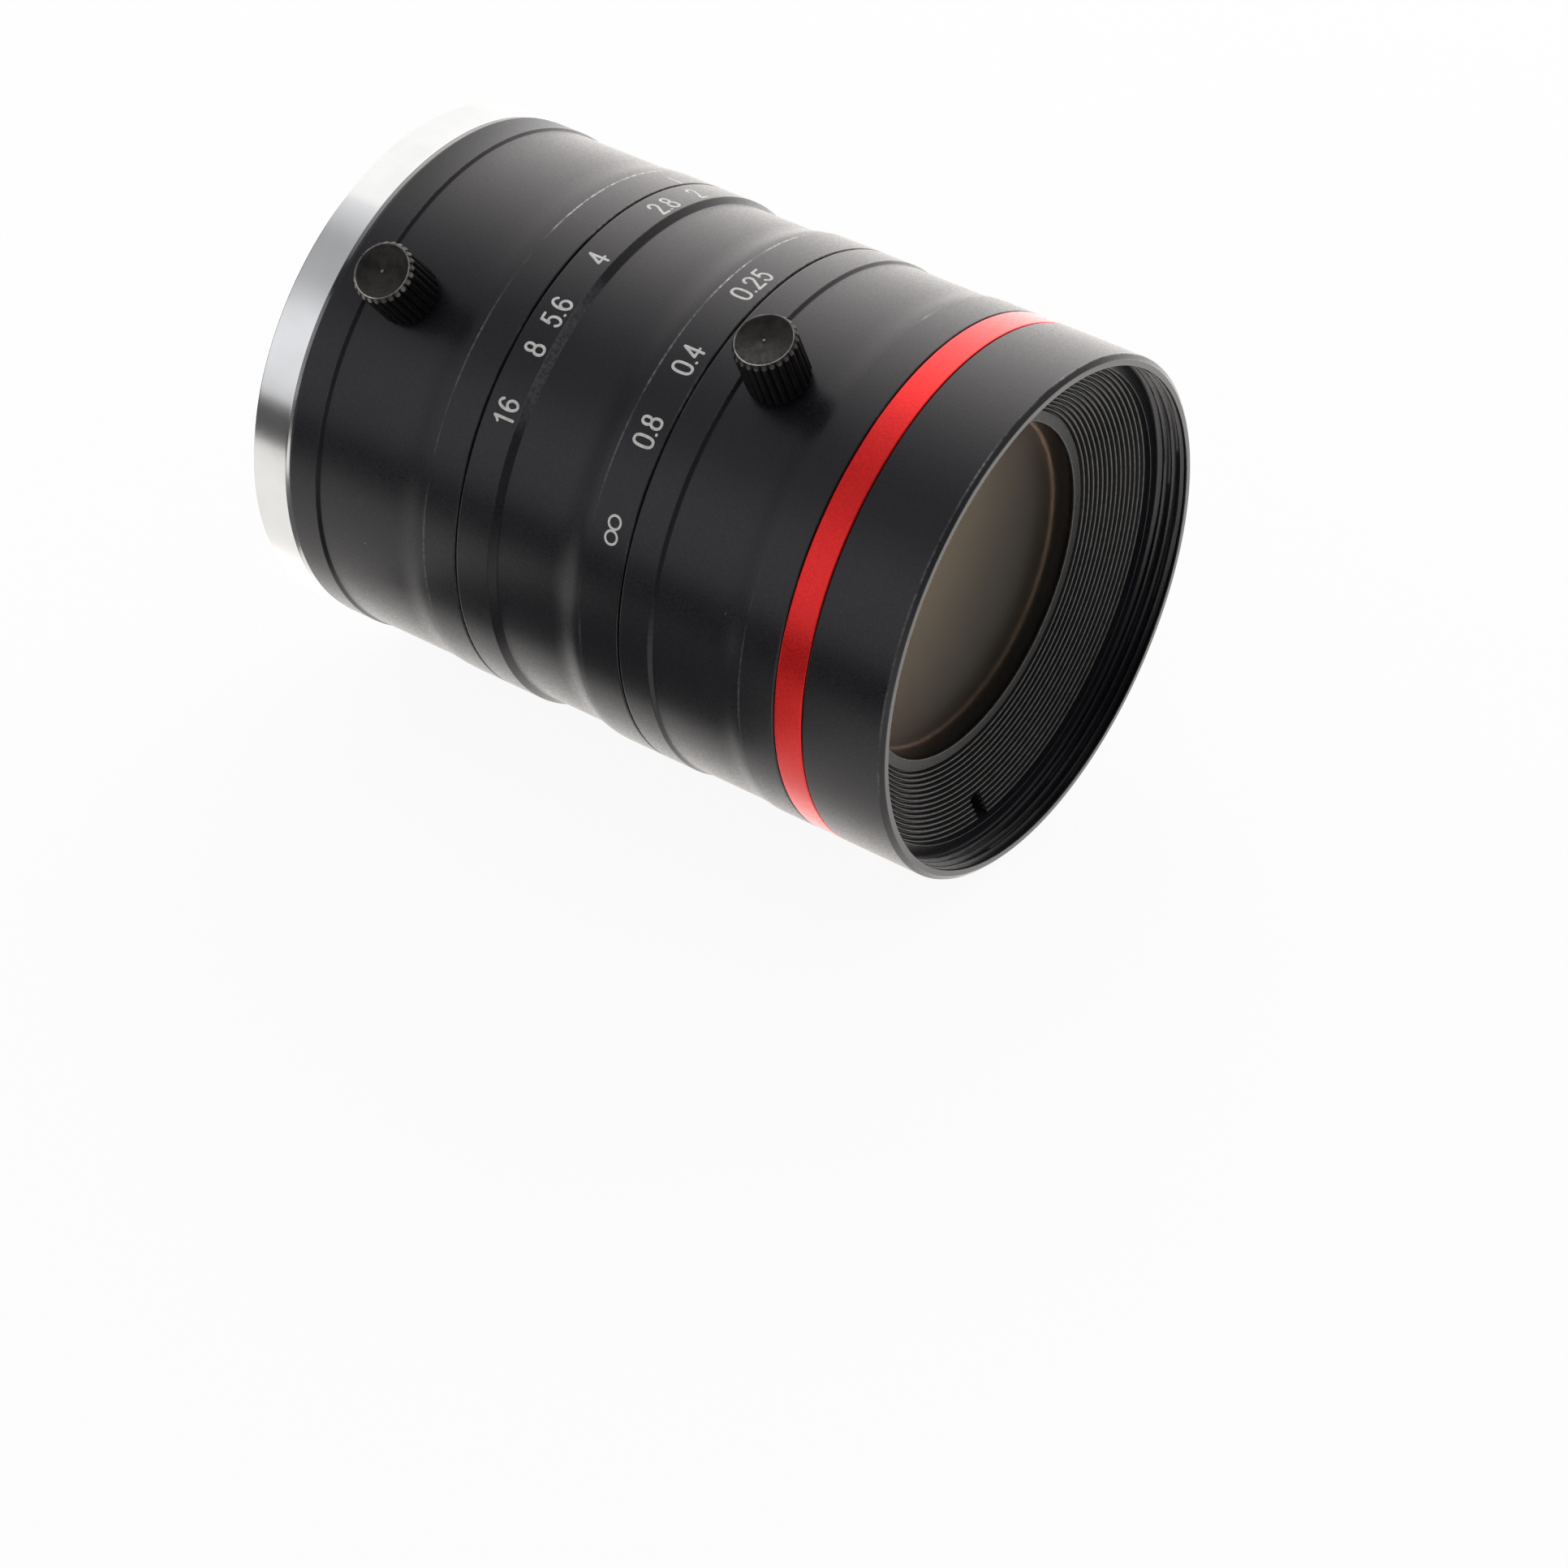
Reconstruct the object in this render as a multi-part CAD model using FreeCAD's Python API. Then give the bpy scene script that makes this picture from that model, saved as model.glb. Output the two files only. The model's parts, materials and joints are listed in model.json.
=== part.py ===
"""A C-mount machine vision lens, modelled in millimetres.

The optical axis is X and the front looks along +X. The origin is the centre of the
mount's flange face, where the lens seats on a camera. +Z is up as the lens lies on its side.
Each piece that would come apart on a bench is one solid in its own file.
"""
import FreeCAD, Part
import math
import os
from FreeCAD import Vector

# Outer barrel, from the mount to the front rim
barrel_diameter = 44.0
mount_thread_diameter = 25.4
mount_thread_length = 4.0
mount_ring_length = 3.8
iris_ring_length = 17.0
scale_barrel_length = 15.95
focus_ring_length = 14.75
red_ring_length = 2.54
hood_length = 7.4
edge_break = 0.12
mount_bevel = 0.3

# Turned-down waists: land behind, slope, depth, ramp and land in front
iris_waist = dict(rear_land=2.75, slope=0.45, depth=0.2, ramp=1.55, front_land=3.95)
scale_waist = dict(rear_land=3.3, slope=0.75, depth=0.43, ramp=1.75, front_land=4.3)
focus_waist = dict(rear_land=2.75, slope=0.5, depth=0.2, ramp=1.3, front_land=3.7)

# Clearances and gaps
running_clearance = 0.05
axial_play = 0.05
iris_rear_gap = 0.1
ring_gap = 0.15
washer_thickness = 0.1
accent_gap = 0.08
seat_gap = 0.04
cement_gap = 0.01
pin_clearance = 0.03
screw_clearance = 0.04

# Fixed inner barrel, its walls counted inwards from the outside
ring_wall = 4.0
barrel_wall = 1.5
rear_bore_step = 1.5
spigot_depth = 2.2
retainer_thread_depth = 0.8
retainer_height = 2.1
retainer_length = 1.8
retainer_room = 0.2
scale_land_length = 2.9
scale_relief_depth = 1.2

# Focusing ring and front group
focus_flange_length = 4.9
helicoid_gap = 0.7
front_shoulder_thickness = 0.5
front_shoulder_width = 1.2
front_bore_clearance = 0.05
red_ring_wall = 1.4
spigot_reach = 2.6
spigot_lip_width = 1.2
spigot_cone_back = 0.45

# Hood, filter thread and stepped baffle
rim_wall = 0.9
filter_depth = 2.8
rim_bevel = 0.25
baffle_seat_wall = 0.5
baffle_setback = 0.55
baffle_steps = 14
baffle_cone_overlap = 0.8
baffle_lip_width = 0.94
baffle_lip_length = 1.1
slot_width = 1.6
slot_length = 2.5
slot_edge = 0.2
slot_depth = 1.3
slot_angle = -173.0

# Front group glass
glass_setback = 5.0
front_lens_step = 0.5
front_lens_curve = 42.0
front_lens_edge = 0.93
front_spacer_length = 0.9
second_lens_centre = 1.03
second_lens_curve = 60.0

# Moving cell
cell_rear_gap = 4.35
cell_front_gap = 1.5
cell_wall = 1.95
cell_shoulder_width = 2.0
cell_shoulder_length = 2.5
cell_shoulder_offset = 0.5
cell_spacer_wall = 1.3
cell_rear_curve = 50.0
cell_rear_edge = 1.0
cell_front_curve = 45.0
cell_front_centre = 1.0
cell_retainer_setback = 0.5
cell_retainer_length = 1.5
cell_retainer_width = 1.7
key_width = 2.0
key_length = 3.0
key_offset = 8.95
key_depth = 0.9
key_travel_back = 2.5
key_travel_forward = 1.5

# Rear cell
stub_wall = 1.7
rear_cell_wall = 1.2
rear_cell_recess = 0.4
rear_cell_gap = 1.1
rear_seat_length = 1.0
rear_seat_width = 1.4
collar_length = 1.6
flint_hollow = 1.65
cement_depth = 2.0
crown_bulge = 1.22
rear_lens_bulge = 1.4
flint_centre = 1.15
crown_edge = 1.0
rear_spacer_wall = 1.0
rear_lens_edge = 1.2
rear_retainer_setback = 1.53
rear_retainer_width = 1.2
rear_retainer_length = 1.95
rear_slot_width = 1.2
rear_slot_depth = 0.8

# Iris
blade_count = 6
iris_setback = 6.4
iris_plate_thickness = 0.9
iris_plate_overhang = 0.2
iris_rim_thickness = 0.45
iris_chamber = 1.1
blade_thickness = 0.09
blade_pitch = 0.15
blade_width = 5.3
blade_start_angle = -4.0
blade_end_angle = 118.0
blade_pivot_inset = 2.1
blade_neck_length = 1.1
blade_stud_radius = 0.35
stud_gap = 0.1
stud_end_gap = 0.5
blade_lever = 3.0
blade_lever_angle = -108.0
blade_eye_radius = 0.8
lever_eye_radius = 0.65
blade_turn = 28.0
iris_turn = 75.0
cam_points = 14
cam_spare_angle = 0.4
pin_slot_spare_angle = 0.3
actuator_length = 2.0
drive_pin_radius = 0.6
drive_pin_depth = 0.7
drive_pin_angle = -50.0
drive_pin_seat = 2.0
snap_ring_thickness = 0.5
snap_ring_width = 1.75
snap_ring_groove = 0.5
snap_ring_opening = 30.0

# Thumb screws that lock the two rings
screw_head_radius = 2.5
screw_head_height = 5.2
screw_head_lift = 0.1
screw_head_bevel = 0.25
screw_thread_radius = 1.0
screw_tip_gap = 0.05
knurl_teeth = 22
knurl_depth = 0.22
iris_screw_offset = 6.6
iris_screw_angle = -37.5
focus_screw_offset = 5.85
focus_screw_angle = -23.3

# How far cutting shapes reach past the surfaces that they cut
cutter_reach = 1.0

# Radii, from the outside inwards
barrel_radius = barrel_diameter / 2
bearing_radius = barrel_radius - ring_wall
bore_radius = bearing_radius - barrel_wall
rear_bore_radius = bore_radius - rear_bore_step
retainer_thread_radius = bearing_radius - retainer_thread_depth
retainer_radius = retainer_thread_radius + retainer_height
scale_relief_radius = bearing_radius + scale_relief_depth
spigot_radius = barrel_radius - red_ring_wall
spigot_lip_radius = spigot_radius - spigot_lip_width
filter_minor_radius = barrel_radius - rim_wall
baffle_radius = spigot_radius - baffle_seat_wall
slot_outer_radius = baffle_radius - slot_edge
slot_inner_radius = slot_outer_radius - slot_length
front_lens_radius = bore_radius - front_lens_step
front_shoulder_radius = front_lens_radius - front_shoulder_width
front_bore_radius = front_lens_radius + front_bore_clearance
baffle_cone_radius = front_lens_radius - baffle_cone_overlap
baffle_lip_radius = baffle_cone_radius - baffle_lip_width
cell_radius = bore_radius - running_clearance
cell_bore_radius = cell_radius - cell_wall
cell_shoulder_radius = cell_bore_radius - cell_shoulder_width
cell_spacer_radius = cell_bore_radius - cell_spacer_wall
cell_retainer_radius = cell_bore_radius - cell_retainer_width
mount_thread_radius = mount_thread_diameter / 2
rear_cell_radius = mount_thread_radius - stub_wall
rear_cell_bore = rear_cell_radius - rear_cell_wall
rear_seat_radius = rear_cell_bore - rear_seat_width
rear_spacer_radius = rear_cell_bore - rear_spacer_wall
rear_retainer_radius = rear_cell_bore - rear_retainer_width
collar_radius = (rear_cell_radius + rear_bore_radius) / 2
blade_pivot_radius = bore_radius - blade_pivot_inset
blade_outer_radius = blade_pivot_radius - blade_neck_length
blade_inner_radius = blade_outer_radius - blade_width
iris_opening_radius = blade_inner_radius - iris_plate_overhang


def sag(curve, radius):
    """How far a spherical face of that curve falls back at a radius."""
    return curve - math.sqrt(curve * curve - radius * radius)


def curve_of(depth, radius):
    """The radius of the sphere that falls back by that depth at a radius."""
    return (radius * radius + depth * depth) / (2 * depth)


# Curves of the rear cell's glass, which keep their depth whatever its diameter
flint_front_curve = curve_of(flint_hollow, rear_cell_bore)
cement_curve = curve_of(cement_depth, rear_cell_bore)
crown_rear_curve = curve_of(crown_bulge, rear_cell_bore)
rear_lens_curve = curve_of(rear_lens_bulge, rear_cell_bore)

# Stations along the axis
iris_rear = mount_ring_length + iris_rear_gap
iris_front = iris_rear + iris_ring_length
scale_rear = iris_front + ring_gap
scale_front = scale_rear + scale_barrel_length
focus_rear = scale_front + ring_gap
focus_front = focus_rear + focus_ring_length
red_rear = focus_front + accent_gap
red_front = red_rear + red_ring_length
hood_rear = red_front + accent_gap
hood_front = hood_rear + hood_length

flange_end = focus_rear + focus_flange_length
retainer_rear = flange_end + axial_play
retainer_front = retainer_rear + retainer_length
helicoid_rear = retainer_front + helicoid_gap
front_vertex = hood_front - glass_setback
front_lens_rear = front_vertex - sag(front_lens_curve, front_lens_radius) - front_lens_edge
second_lens_front = front_lens_rear - front_spacer_length
second_lens_rear = second_lens_front - second_lens_centre
front_seat = second_lens_rear - sag(second_lens_curve, front_lens_radius)
helicoid_front = front_seat - front_shoulder_thickness

spigot_front = hood_rear + spigot_reach
filter_rear = hood_front - filter_depth
baffle_front = filter_rear - baffle_setback

mount_seat = mount_ring_length - spigot_depth
iris_plate_rear = iris_front - iris_setback
rear_cell_rear = rear_cell_recess - mount_thread_length
rear_cell_front = iris_plate_rear - rear_cell_gap
blade_rear = iris_plate_rear + iris_plate_thickness
actuator_rear = blade_rear + iris_chamber + axial_play
actuator_front = actuator_rear + actuator_length
drive_pin_x = (actuator_rear + actuator_front) / 2
snap_ring_rear = actuator_front + 2 * axial_play
cell_rear = snap_ring_rear + snap_ring_thickness + cell_rear_gap
cell_front = helicoid_front - cell_front_gap
cell_seat = cell_rear + cell_shoulder_offset + cell_shoulder_length
key_start = scale_rear + key_offset
iris_screw_x = iris_rear + iris_screw_offset
focus_screw_x = focus_rear + focus_screw_offset

AXIS = Vector(1, 0, 0)
ORIGIN = Vector(0, 0, 0)


def lathe(outline):
    """Turn a closed outline of (x, radius) points about the optical axis."""
    points = [Vector(x, r, 0) for x, r in outline]
    face = Part.Face(Part.makePolygon(points + points[:1]))
    return face.revolve(ORIGIN, AXIS, 360)


def tube(rear, front, inner, outer):
    """A plain ring between two stations."""
    return lathe([(rear, inner), (front, inner), (front, outer), (rear, outer)])


def polar(x, radius, angle):
    """A point round the axis, the angle counted from +Y towards +Z in degrees."""
    a = math.radians(angle)
    return Vector(x, radius * math.cos(a), radius * math.sin(a))


def clock(angle):
    """Turn an angle counted from +Z towards +Y into one counted from +Y towards +Z."""
    return 90.0 - angle


def turned(shape, angle):
    """A copy of the shape turned about the optical axis."""
    copy = shape.copy()
    copy.rotate(ORIGIN, AXIS, angle)
    return copy


def sector(x, thickness, inner, outer, start, end):
    """A flat piece of a ring between two angles."""
    middle = (start + end) / 2
    outer_arc = Part.Arc(polar(x, outer, start), polar(x, outer, middle), polar(x, outer, end))
    inner_arc = Part.Arc(polar(x, inner, end), polar(x, inner, middle), polar(x, inner, start))
    sides = [
        Part.LineSegment(polar(x, outer, end), polar(x, inner, end)),
        Part.LineSegment(polar(x, inner, start), polar(x, outer, start)),
    ]
    edges = [outer_arc.toShape(), sides[0].toShape(), inner_arc.toShape(), sides[1].toShape()]
    return Part.Face(Part.Wire(edges)).extrude(Vector(thickness, 0, 0))


def radial_pin(x, angle, radius, low, high):
    """A round pin that points straight out from the axis."""
    return Part.makeCylinder(radius, high - low, polar(x, low, angle), polar(0, 1, angle))


def radial_box(x, length, width, low, high, angle):
    """A block that points straight out from the axis, its middle line at the angle."""
    box = Part.makeBox(length, high - low, width, Vector(x, low, -width / 2))
    return turned(box, angle)


def glass(radius, rear, front, rear_curve=0.0, front_curve=0.0):
    """A lens between two vertices. A curve above 0 bulges outwards, below 0 is hollow, 0 is flat."""
    half = radius / 2

    def face_x(vertex, curve, height, outwards):
        if curve == 0:
            return vertex
        return vertex - outwards * math.copysign(sag(abs(curve), height), curve)

    corners = {}
    for name, vertex, curve, outwards in (("rear", rear, rear_curve, -1), ("front", front, front_curve, 1)):
        corners[name] = [Vector(face_x(vertex, curve, h, outwards), h, 0) for h in (0, half, radius)]
    edges = [Part.LineSegment(corners["rear"][0], corners["front"][0]).toShape()]
    for name, curve in (("front", front_curve), ("rear", rear_curve)):
        low, middle, high = corners[name]
        if name == "rear":
            low, high = high, low
        line = Part.Arc(low, middle, high) if curve else Part.LineSegment(low, high)
        edges.append(line.toShape())
        if name == "front":
            edges.append(Part.LineSegment(high, corners["rear"][2]).toShape())
    return Part.Face(Part.Wire(edges)).revolve(ORIGIN, AXIS, 360)


def waisted(rear, front, rear_land, slope, depth, ramp, front_land):
    """The outer outline of a ring with a turned-down waist, from rear to front."""
    top = barrel_radius
    low = top - depth
    return [
        (rear, top - edge_break),
        (rear + edge_break, top),
        (rear + rear_land, top),
        (rear + rear_land + slope, low),
        (front - front_land - ramp, low),
        (front - front_land, top),
        (front - edge_break, top),
        (front, top - edge_break),
    ]


def mount_ring():
    """Bright ring with the camera flange behind it and the mount thread's stub."""
    return lathe([
        (-mount_thread_length, rear_cell_radius),
        (-mount_thread_length, mount_thread_radius - mount_bevel),
        (-mount_thread_length + mount_bevel, mount_thread_radius),
        (0, mount_thread_radius),
        (0, barrel_radius - edge_break),
        (edge_break, barrel_radius),
        (mount_ring_length - mount_bevel, barrel_radius),
        (mount_ring_length, barrel_radius - mount_bevel),
        (mount_ring_length, bore_radius),
        (mount_seat, bore_radius),
        (mount_seat, rear_cell_radius),
    ])


def main_barrel():
    """Fixed inner tube that the rings turn on and the moving cell slides in."""
    body = lathe([
        (mount_seat, rear_bore_radius),
        (mount_seat, bore_radius),
        (mount_ring_length, bore_radius),
        (mount_ring_length, bearing_radius),
        (flange_end, bearing_radius),
        (flange_end, retainer_thread_radius),
        (retainer_front, retainer_thread_radius),
        (retainer_front, bore_radius),
        (iris_plate_rear, bore_radius),
        (iris_plate_rear, rear_bore_radius),
    ])
    groove = tube(
        snap_ring_rear - axial_play,
        snap_ring_rear + snap_ring_thickness + axial_play,
        bore_radius - cutter_reach,
        bore_radius + snap_ring_groove,
    )
    reach = math.degrees((drive_pin_radius + pin_clearance) / bore_radius) + pin_slot_spare_angle
    slot_length = 2 * (drive_pin_radius + pin_clearance)
    pin_slot = sector(
        drive_pin_x - slot_length / 2,
        slot_length,
        bore_radius - cutter_reach,
        bearing_radius + cutter_reach,
        drive_pin_angle - reach,
        drive_pin_angle + iris_turn + reach,
    )
    key_slot = radial_box(
        key_start,
        key_length,
        key_width,
        bore_radius - cutter_reach,
        bearing_radius + cutter_reach,
        clock(180),
    )
    return body.cut([groove, pin_slot, key_slot])


def guide_key():
    """Key in the fixed barrel that keeps the moving cell from turning."""
    low = bore_radius - key_depth
    return radial_box(key_start, key_length, key_width, low, bearing_radius - seat_gap, clock(180))


def scale_barrel():
    """Fixed ring that carries the aperture scale and the distance scale."""
    outline = waisted(scale_rear, scale_front, **scale_waist)
    inside = [
        (scale_front, bearing_radius),
        (scale_front - scale_land_length, bearing_radius),
        (scale_front - scale_land_length, scale_relief_radius),
        (scale_rear + scale_land_length, scale_relief_radius),
        (scale_rear + scale_land_length, bearing_radius),
        (scale_rear, bearing_radius),
    ]
    return lathe(outline + inside)


def screw_hole(x, angle, low):
    """The tapped hole of a thumb screw."""
    return radial_pin(x, angle, screw_thread_radius, low, barrel_radius + cutter_reach)


def iris_ring():
    """Ring that sets the aperture."""
    bore = bearing_radius + running_clearance
    outline = waisted(iris_rear, iris_front, **iris_waist)
    body = lathe(outline + [(iris_front, bore), (iris_rear, bore)])
    hole = screw_hole(iris_screw_x, clock(iris_screw_angle), bearing_radius - cutter_reach)
    pin_seat = radial_pin(
        drive_pin_x,
        drive_pin_angle,
        drive_pin_radius,
        bearing_radius - cutter_reach,
        bearing_radius + drive_pin_seat,
    )
    return body.cut([hole, pin_seat])


def iris_drive_pin():
    """Pin that joins the aperture ring to the actuator inside."""
    low = cell_radius - drive_pin_depth
    return radial_pin(drive_pin_x, drive_pin_angle, drive_pin_radius, low, bearing_radius + drive_pin_seat)


def focus_ring():
    """Focusing ring with its bearing, helicoid bore and the spigot for the front group."""
    bore = bearing_radius + running_clearance
    outline = waisted(focus_rear, focus_front, **focus_waist)
    cone_rear = baffle_lip_front() - spigot_cone_back
    inside = [
        (focus_front, spigot_radius),
        (spigot_front, spigot_radius),
        (spigot_front, spigot_lip_radius),
        (cone_rear, front_bore_radius),
        (front_seat, front_bore_radius),
        (front_seat, front_shoulder_radius),
        (helicoid_front, front_shoulder_radius),
        (helicoid_front, bore_radius),
        (helicoid_rear, bore_radius),
        (helicoid_rear, retainer_radius + retainer_room),
        (flange_end, retainer_radius + retainer_room),
        (flange_end, bore),
        (focus_rear, bore),
    ]
    body = lathe(outline + inside)
    hole = screw_hole(focus_screw_x, clock(focus_screw_angle), retainer_radius)
    return body.cut(hole)


def focus_retainer():
    """Threaded ring on the fixed barrel that keeps the focusing ring on its bearing."""
    return tube(retainer_rear, retainer_front, retainer_thread_radius, retainer_radius)


def washer(rear):
    """Thin sliding washer in the gap between two rings."""
    play = (ring_gap - washer_thickness) / 2
    return tube(
        rear + play,
        rear + play + washer_thickness,
        bearing_radius + running_clearance,
        barrel_radius - 2 * edge_break,
    )


def red_ring():
    """Coloured ring between the focusing ring and the hood."""
    return lathe([
        (red_rear, spigot_radius),
        (red_rear, barrel_radius - edge_break),
        (red_rear + edge_break, barrel_radius),
        (red_front - edge_break, barrel_radius),
        (red_front, barrel_radius - edge_break),
        (red_front, spigot_radius),
    ])


def front_hood():
    """Front ring with the filter thread inside its rim."""
    step = spigot_front + axial_play
    return lathe([
        (hood_rear, spigot_radius),
        (hood_rear, barrel_radius - edge_break),
        (hood_rear + edge_break, barrel_radius),
        (hood_front - rim_bevel, barrel_radius),
        (hood_front, barrel_radius - rim_bevel),
        (hood_front, filter_minor_radius + rim_bevel / 2),
        (hood_front - rim_bevel / 2, filter_minor_radius),
        (filter_rear, filter_minor_radius),
        (filter_rear, baffle_radius),
        (step, baffle_radius),
        (step, spigot_radius),
    ])


def baffle_lip_rear():
    """Where the baffle's lip holds the front lens."""
    return front_vertex - sag(front_lens_curve, baffle_lip_radius) + seat_gap


def baffle_lip_front():
    """The flat face round the front glass."""
    return baffle_lip_rear() + baffle_lip_length


def baffle():
    """Stepped ring that holds the front lens and kills stray light, with two spanner slots."""
    lip_front = baffle_lip_front()
    cone_shift = 2 * axial_play
    rise = (baffle_front - lip_front) / baffle_steps
    width = (baffle_radius - baffle_cone_radius) / baffle_steps
    steps = []
    for i in range(baffle_steps):
        radius = baffle_radius - i * width
        x = baffle_front - i * rise
        steps += [(x, radius), (x, radius - width / 2)]
        steps += [(x - rise, radius - width / 2)]
    steps += [(lip_front, baffle_cone_radius)]
    rear = [
        (lip_front, baffle_lip_radius),
        (baffle_lip_rear(), baffle_lip_radius),
        (baffle_lip_rear(), front_bore_radius - cone_shift),
        (lip_front - spigot_cone_back + cone_shift, front_bore_radius - cone_shift),
        (spigot_front + cone_shift, spigot_lip_radius - cone_shift),
        (spigot_front + cone_shift, baffle_radius),
    ]
    body = lathe(steps + rear)
    slots = []
    for half_turn in (0, 180):
        slots.append(radial_box(
            baffle_front - slot_depth,
            slot_depth + cutter_reach,
            slot_width,
            slot_inner_radius,
            slot_outer_radius,
            clock(slot_angle) + half_turn,
        ))
    return body.cut(slots)


def front_lens():
    """Front element, curved forwards."""
    return glass(front_lens_radius, front_lens_rear, front_vertex, front_curve=front_lens_curve)


def front_spacer():
    """Ring between the two front elements."""
    return tube(second_lens_front, front_lens_rear, front_shoulder_radius, front_lens_radius)


def second_lens():
    """Second element, hollow towards the rear."""
    return glass(front_lens_radius, second_lens_rear, second_lens_front, rear_curve=-second_lens_curve)


def focus_cell():
    """Tube with the moving elements. It slides in the fixed barrel as the focusing ring turns."""
    body = lathe([
        (cell_rear, cell_bore_radius),
        (cell_rear, cell_radius),
        (cell_front, cell_radius),
        (cell_front, cell_bore_radius),
        (cell_seat, cell_bore_radius),
        (cell_seat, cell_shoulder_radius),
        (cell_rear + cell_shoulder_offset, cell_shoulder_radius),
        (cell_rear + cell_shoulder_offset, cell_bore_radius),
    ])
    start = key_start - key_travel_forward
    keyway = radial_box(
        start,
        key_length + key_travel_forward + key_travel_back,
        key_width + 2 * pin_clearance,
        cell_radius - key_depth,
        bore_radius + cutter_reach,
        clock(180),
    )
    return body.cut(keyway)


def cell_rear_vertices():
    """Rear and front vertices of the moving cell's rear element, which seats on the shoulder."""
    rear = cell_seat - sag(cell_rear_curve, cell_shoulder_radius) + seat_gap
    return rear, rear + 2 * sag(cell_rear_curve, cell_bore_radius) + cell_rear_edge


def cell_rear_lens():
    """Rear element of the moving cell, curved both ways."""
    rear, front = cell_rear_vertices()
    return glass(cell_bore_radius, rear, front, cell_rear_curve, cell_rear_curve)


def cell_front_edges():
    """Rear and front ends of the rim of the moving cell's front element."""
    front = cell_front - cell_retainer_setback - cell_retainer_length
    return front - cell_front_centre - 2 * sag(cell_front_curve, cell_bore_radius), front


def cell_spacer():
    """Tube between the moving elements."""
    rear = cell_rear_vertices()[1] - sag(cell_rear_curve, cell_spacer_radius) + seat_gap
    return tube(rear, cell_front_edges()[0], cell_spacer_radius, cell_bore_radius)


def cell_front_lens():
    """Front element of the moving cell, hollow both ways."""
    rear, front = cell_front_edges()
    hollow = sag(cell_front_curve, cell_bore_radius)
    return glass(cell_bore_radius, rear + hollow, front - hollow, -cell_front_curve, -cell_front_curve)


def spanner_ring(rear, length, inner, outer, slot_side):
    """Threaded ring with two spanner slots in its rear (-1) or front (1) face."""
    body = tube(rear, rear + length, inner, outer)
    start = rear - cutter_reach if slot_side < 0 else rear + length - rear_slot_depth
    slots = []
    for angle in (0, 180):
        slots.append(radial_box(
            start,
            rear_slot_depth + cutter_reach,
            rear_slot_width,
            inner - cutter_reach,
            outer + cutter_reach,
            angle,
        ))
    return body.cut(slots)


def cell_retainer():
    """Ring that holds the moving elements in their cell."""
    rear = cell_front_edges()[1]
    return spanner_ring(rear, cell_retainer_length, cell_retainer_radius, cell_bore_radius, 1)


def rear_cell():
    """Tube with the fixed rear elements, screwed into the mount."""
    inner_face = rear_cell_front - rear_seat_length
    return lathe([
        (rear_cell_rear, rear_cell_bore),
        (rear_cell_rear, rear_cell_radius),
        (mount_seat, rear_cell_radius),
        (mount_seat, collar_radius),
        (mount_seat + collar_length, collar_radius),
        (mount_seat + collar_length, rear_cell_radius),
        (rear_cell_front, rear_cell_radius),
        (rear_cell_front, rear_seat_radius),
        (inner_face, rear_seat_radius),
        (inner_face, rear_cell_bore),
    ])


def flint_vertices():
    """Rear and front vertices of the cemented pair's front half, which stops on the cell's seat."""
    front = rear_cell_front - rear_seat_length - flint_hollow
    return front - flint_centre, front


def rear_flint():
    """Front half of the cemented pair, hollow both ways."""
    rear, front = flint_vertices()
    return glass(rear_cell_bore, rear, front, -cement_curve, -flint_front_curve)


def crown_vertices():
    """Rear and front vertices of the cemented pair's rear half."""
    front = flint_vertices()[0] - cement_gap
    return front - cement_depth - crown_edge - crown_bulge, front


def rear_crown():
    """Rear half of the cemented pair, curved both ways."""
    rear, front = crown_vertices()
    return glass(rear_cell_bore, rear, front, crown_rear_curve, cement_curve)


def rear_retainer():
    """Ring that holds the rear elements in their cell."""
    rear = rear_cell_rear + rear_retainer_setback
    return spanner_ring(rear, rear_retainer_length, rear_retainer_radius, rear_cell_bore, -1)


def rear_lens_vertices():
    """Rear and front vertices of the rear element, which the retaining ring holds."""
    held = rear_cell_rear + rear_retainer_setback + rear_retainer_length
    rear = held - sag(rear_lens_curve, rear_retainer_radius) + seat_gap
    return rear, rear + 2 * rear_lens_bulge + rear_lens_edge


def rear_lens():
    """Rear element, seen in the middle of the mount."""
    rear, front = rear_lens_vertices()
    return glass(rear_cell_bore, rear, front, rear_lens_curve, rear_lens_curve)


def rear_spacer():
    """Tube between the rear element and the cemented pair."""
    rear = rear_lens_vertices()[1] - sag(rear_lens_curve, rear_spacer_radius) + seat_gap
    front = crown_vertices()[0] + sag(crown_rear_curve, rear_spacer_radius) - seat_gap
    return tube(rear, front, rear_spacer_radius, rear_cell_bore)


def pivot(index):
    """Angle of a blade's pivot round the axis."""
    return index * 360.0 / blade_count


def iris_housing():
    """Plate with the blades' pivot holes and a rim that spaces the actuator."""
    rim_front = blade_rear + iris_chamber
    body = lathe([
        (iris_plate_rear, iris_opening_radius),
        (blade_rear, iris_opening_radius),
        (blade_rear, bore_radius - iris_rim_thickness),
        (rim_front, bore_radius - iris_rim_thickness),
        (rim_front, bore_radius),
        (iris_plate_rear, bore_radius),
    ])
    hole_radius = blade_stud_radius + pin_clearance
    holes = [
        Part.makeCylinder(
            hole_radius,
            iris_plate_thickness + 2 * cutter_reach,
            polar(iris_plate_rear - cutter_reach, blade_pivot_radius, pivot(i)),
            AXIS,
        )
        for i in range(blade_count)
    ]
    return body.cut(holes)


def lever_point(x, turn):
    """Centre of a blade's drive stud in the fixed frame, after the blade has turned."""
    angle = blade_lever_angle + turn
    return polar(x, blade_pivot_radius, 0) + polar(0, blade_lever, angle)


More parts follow.
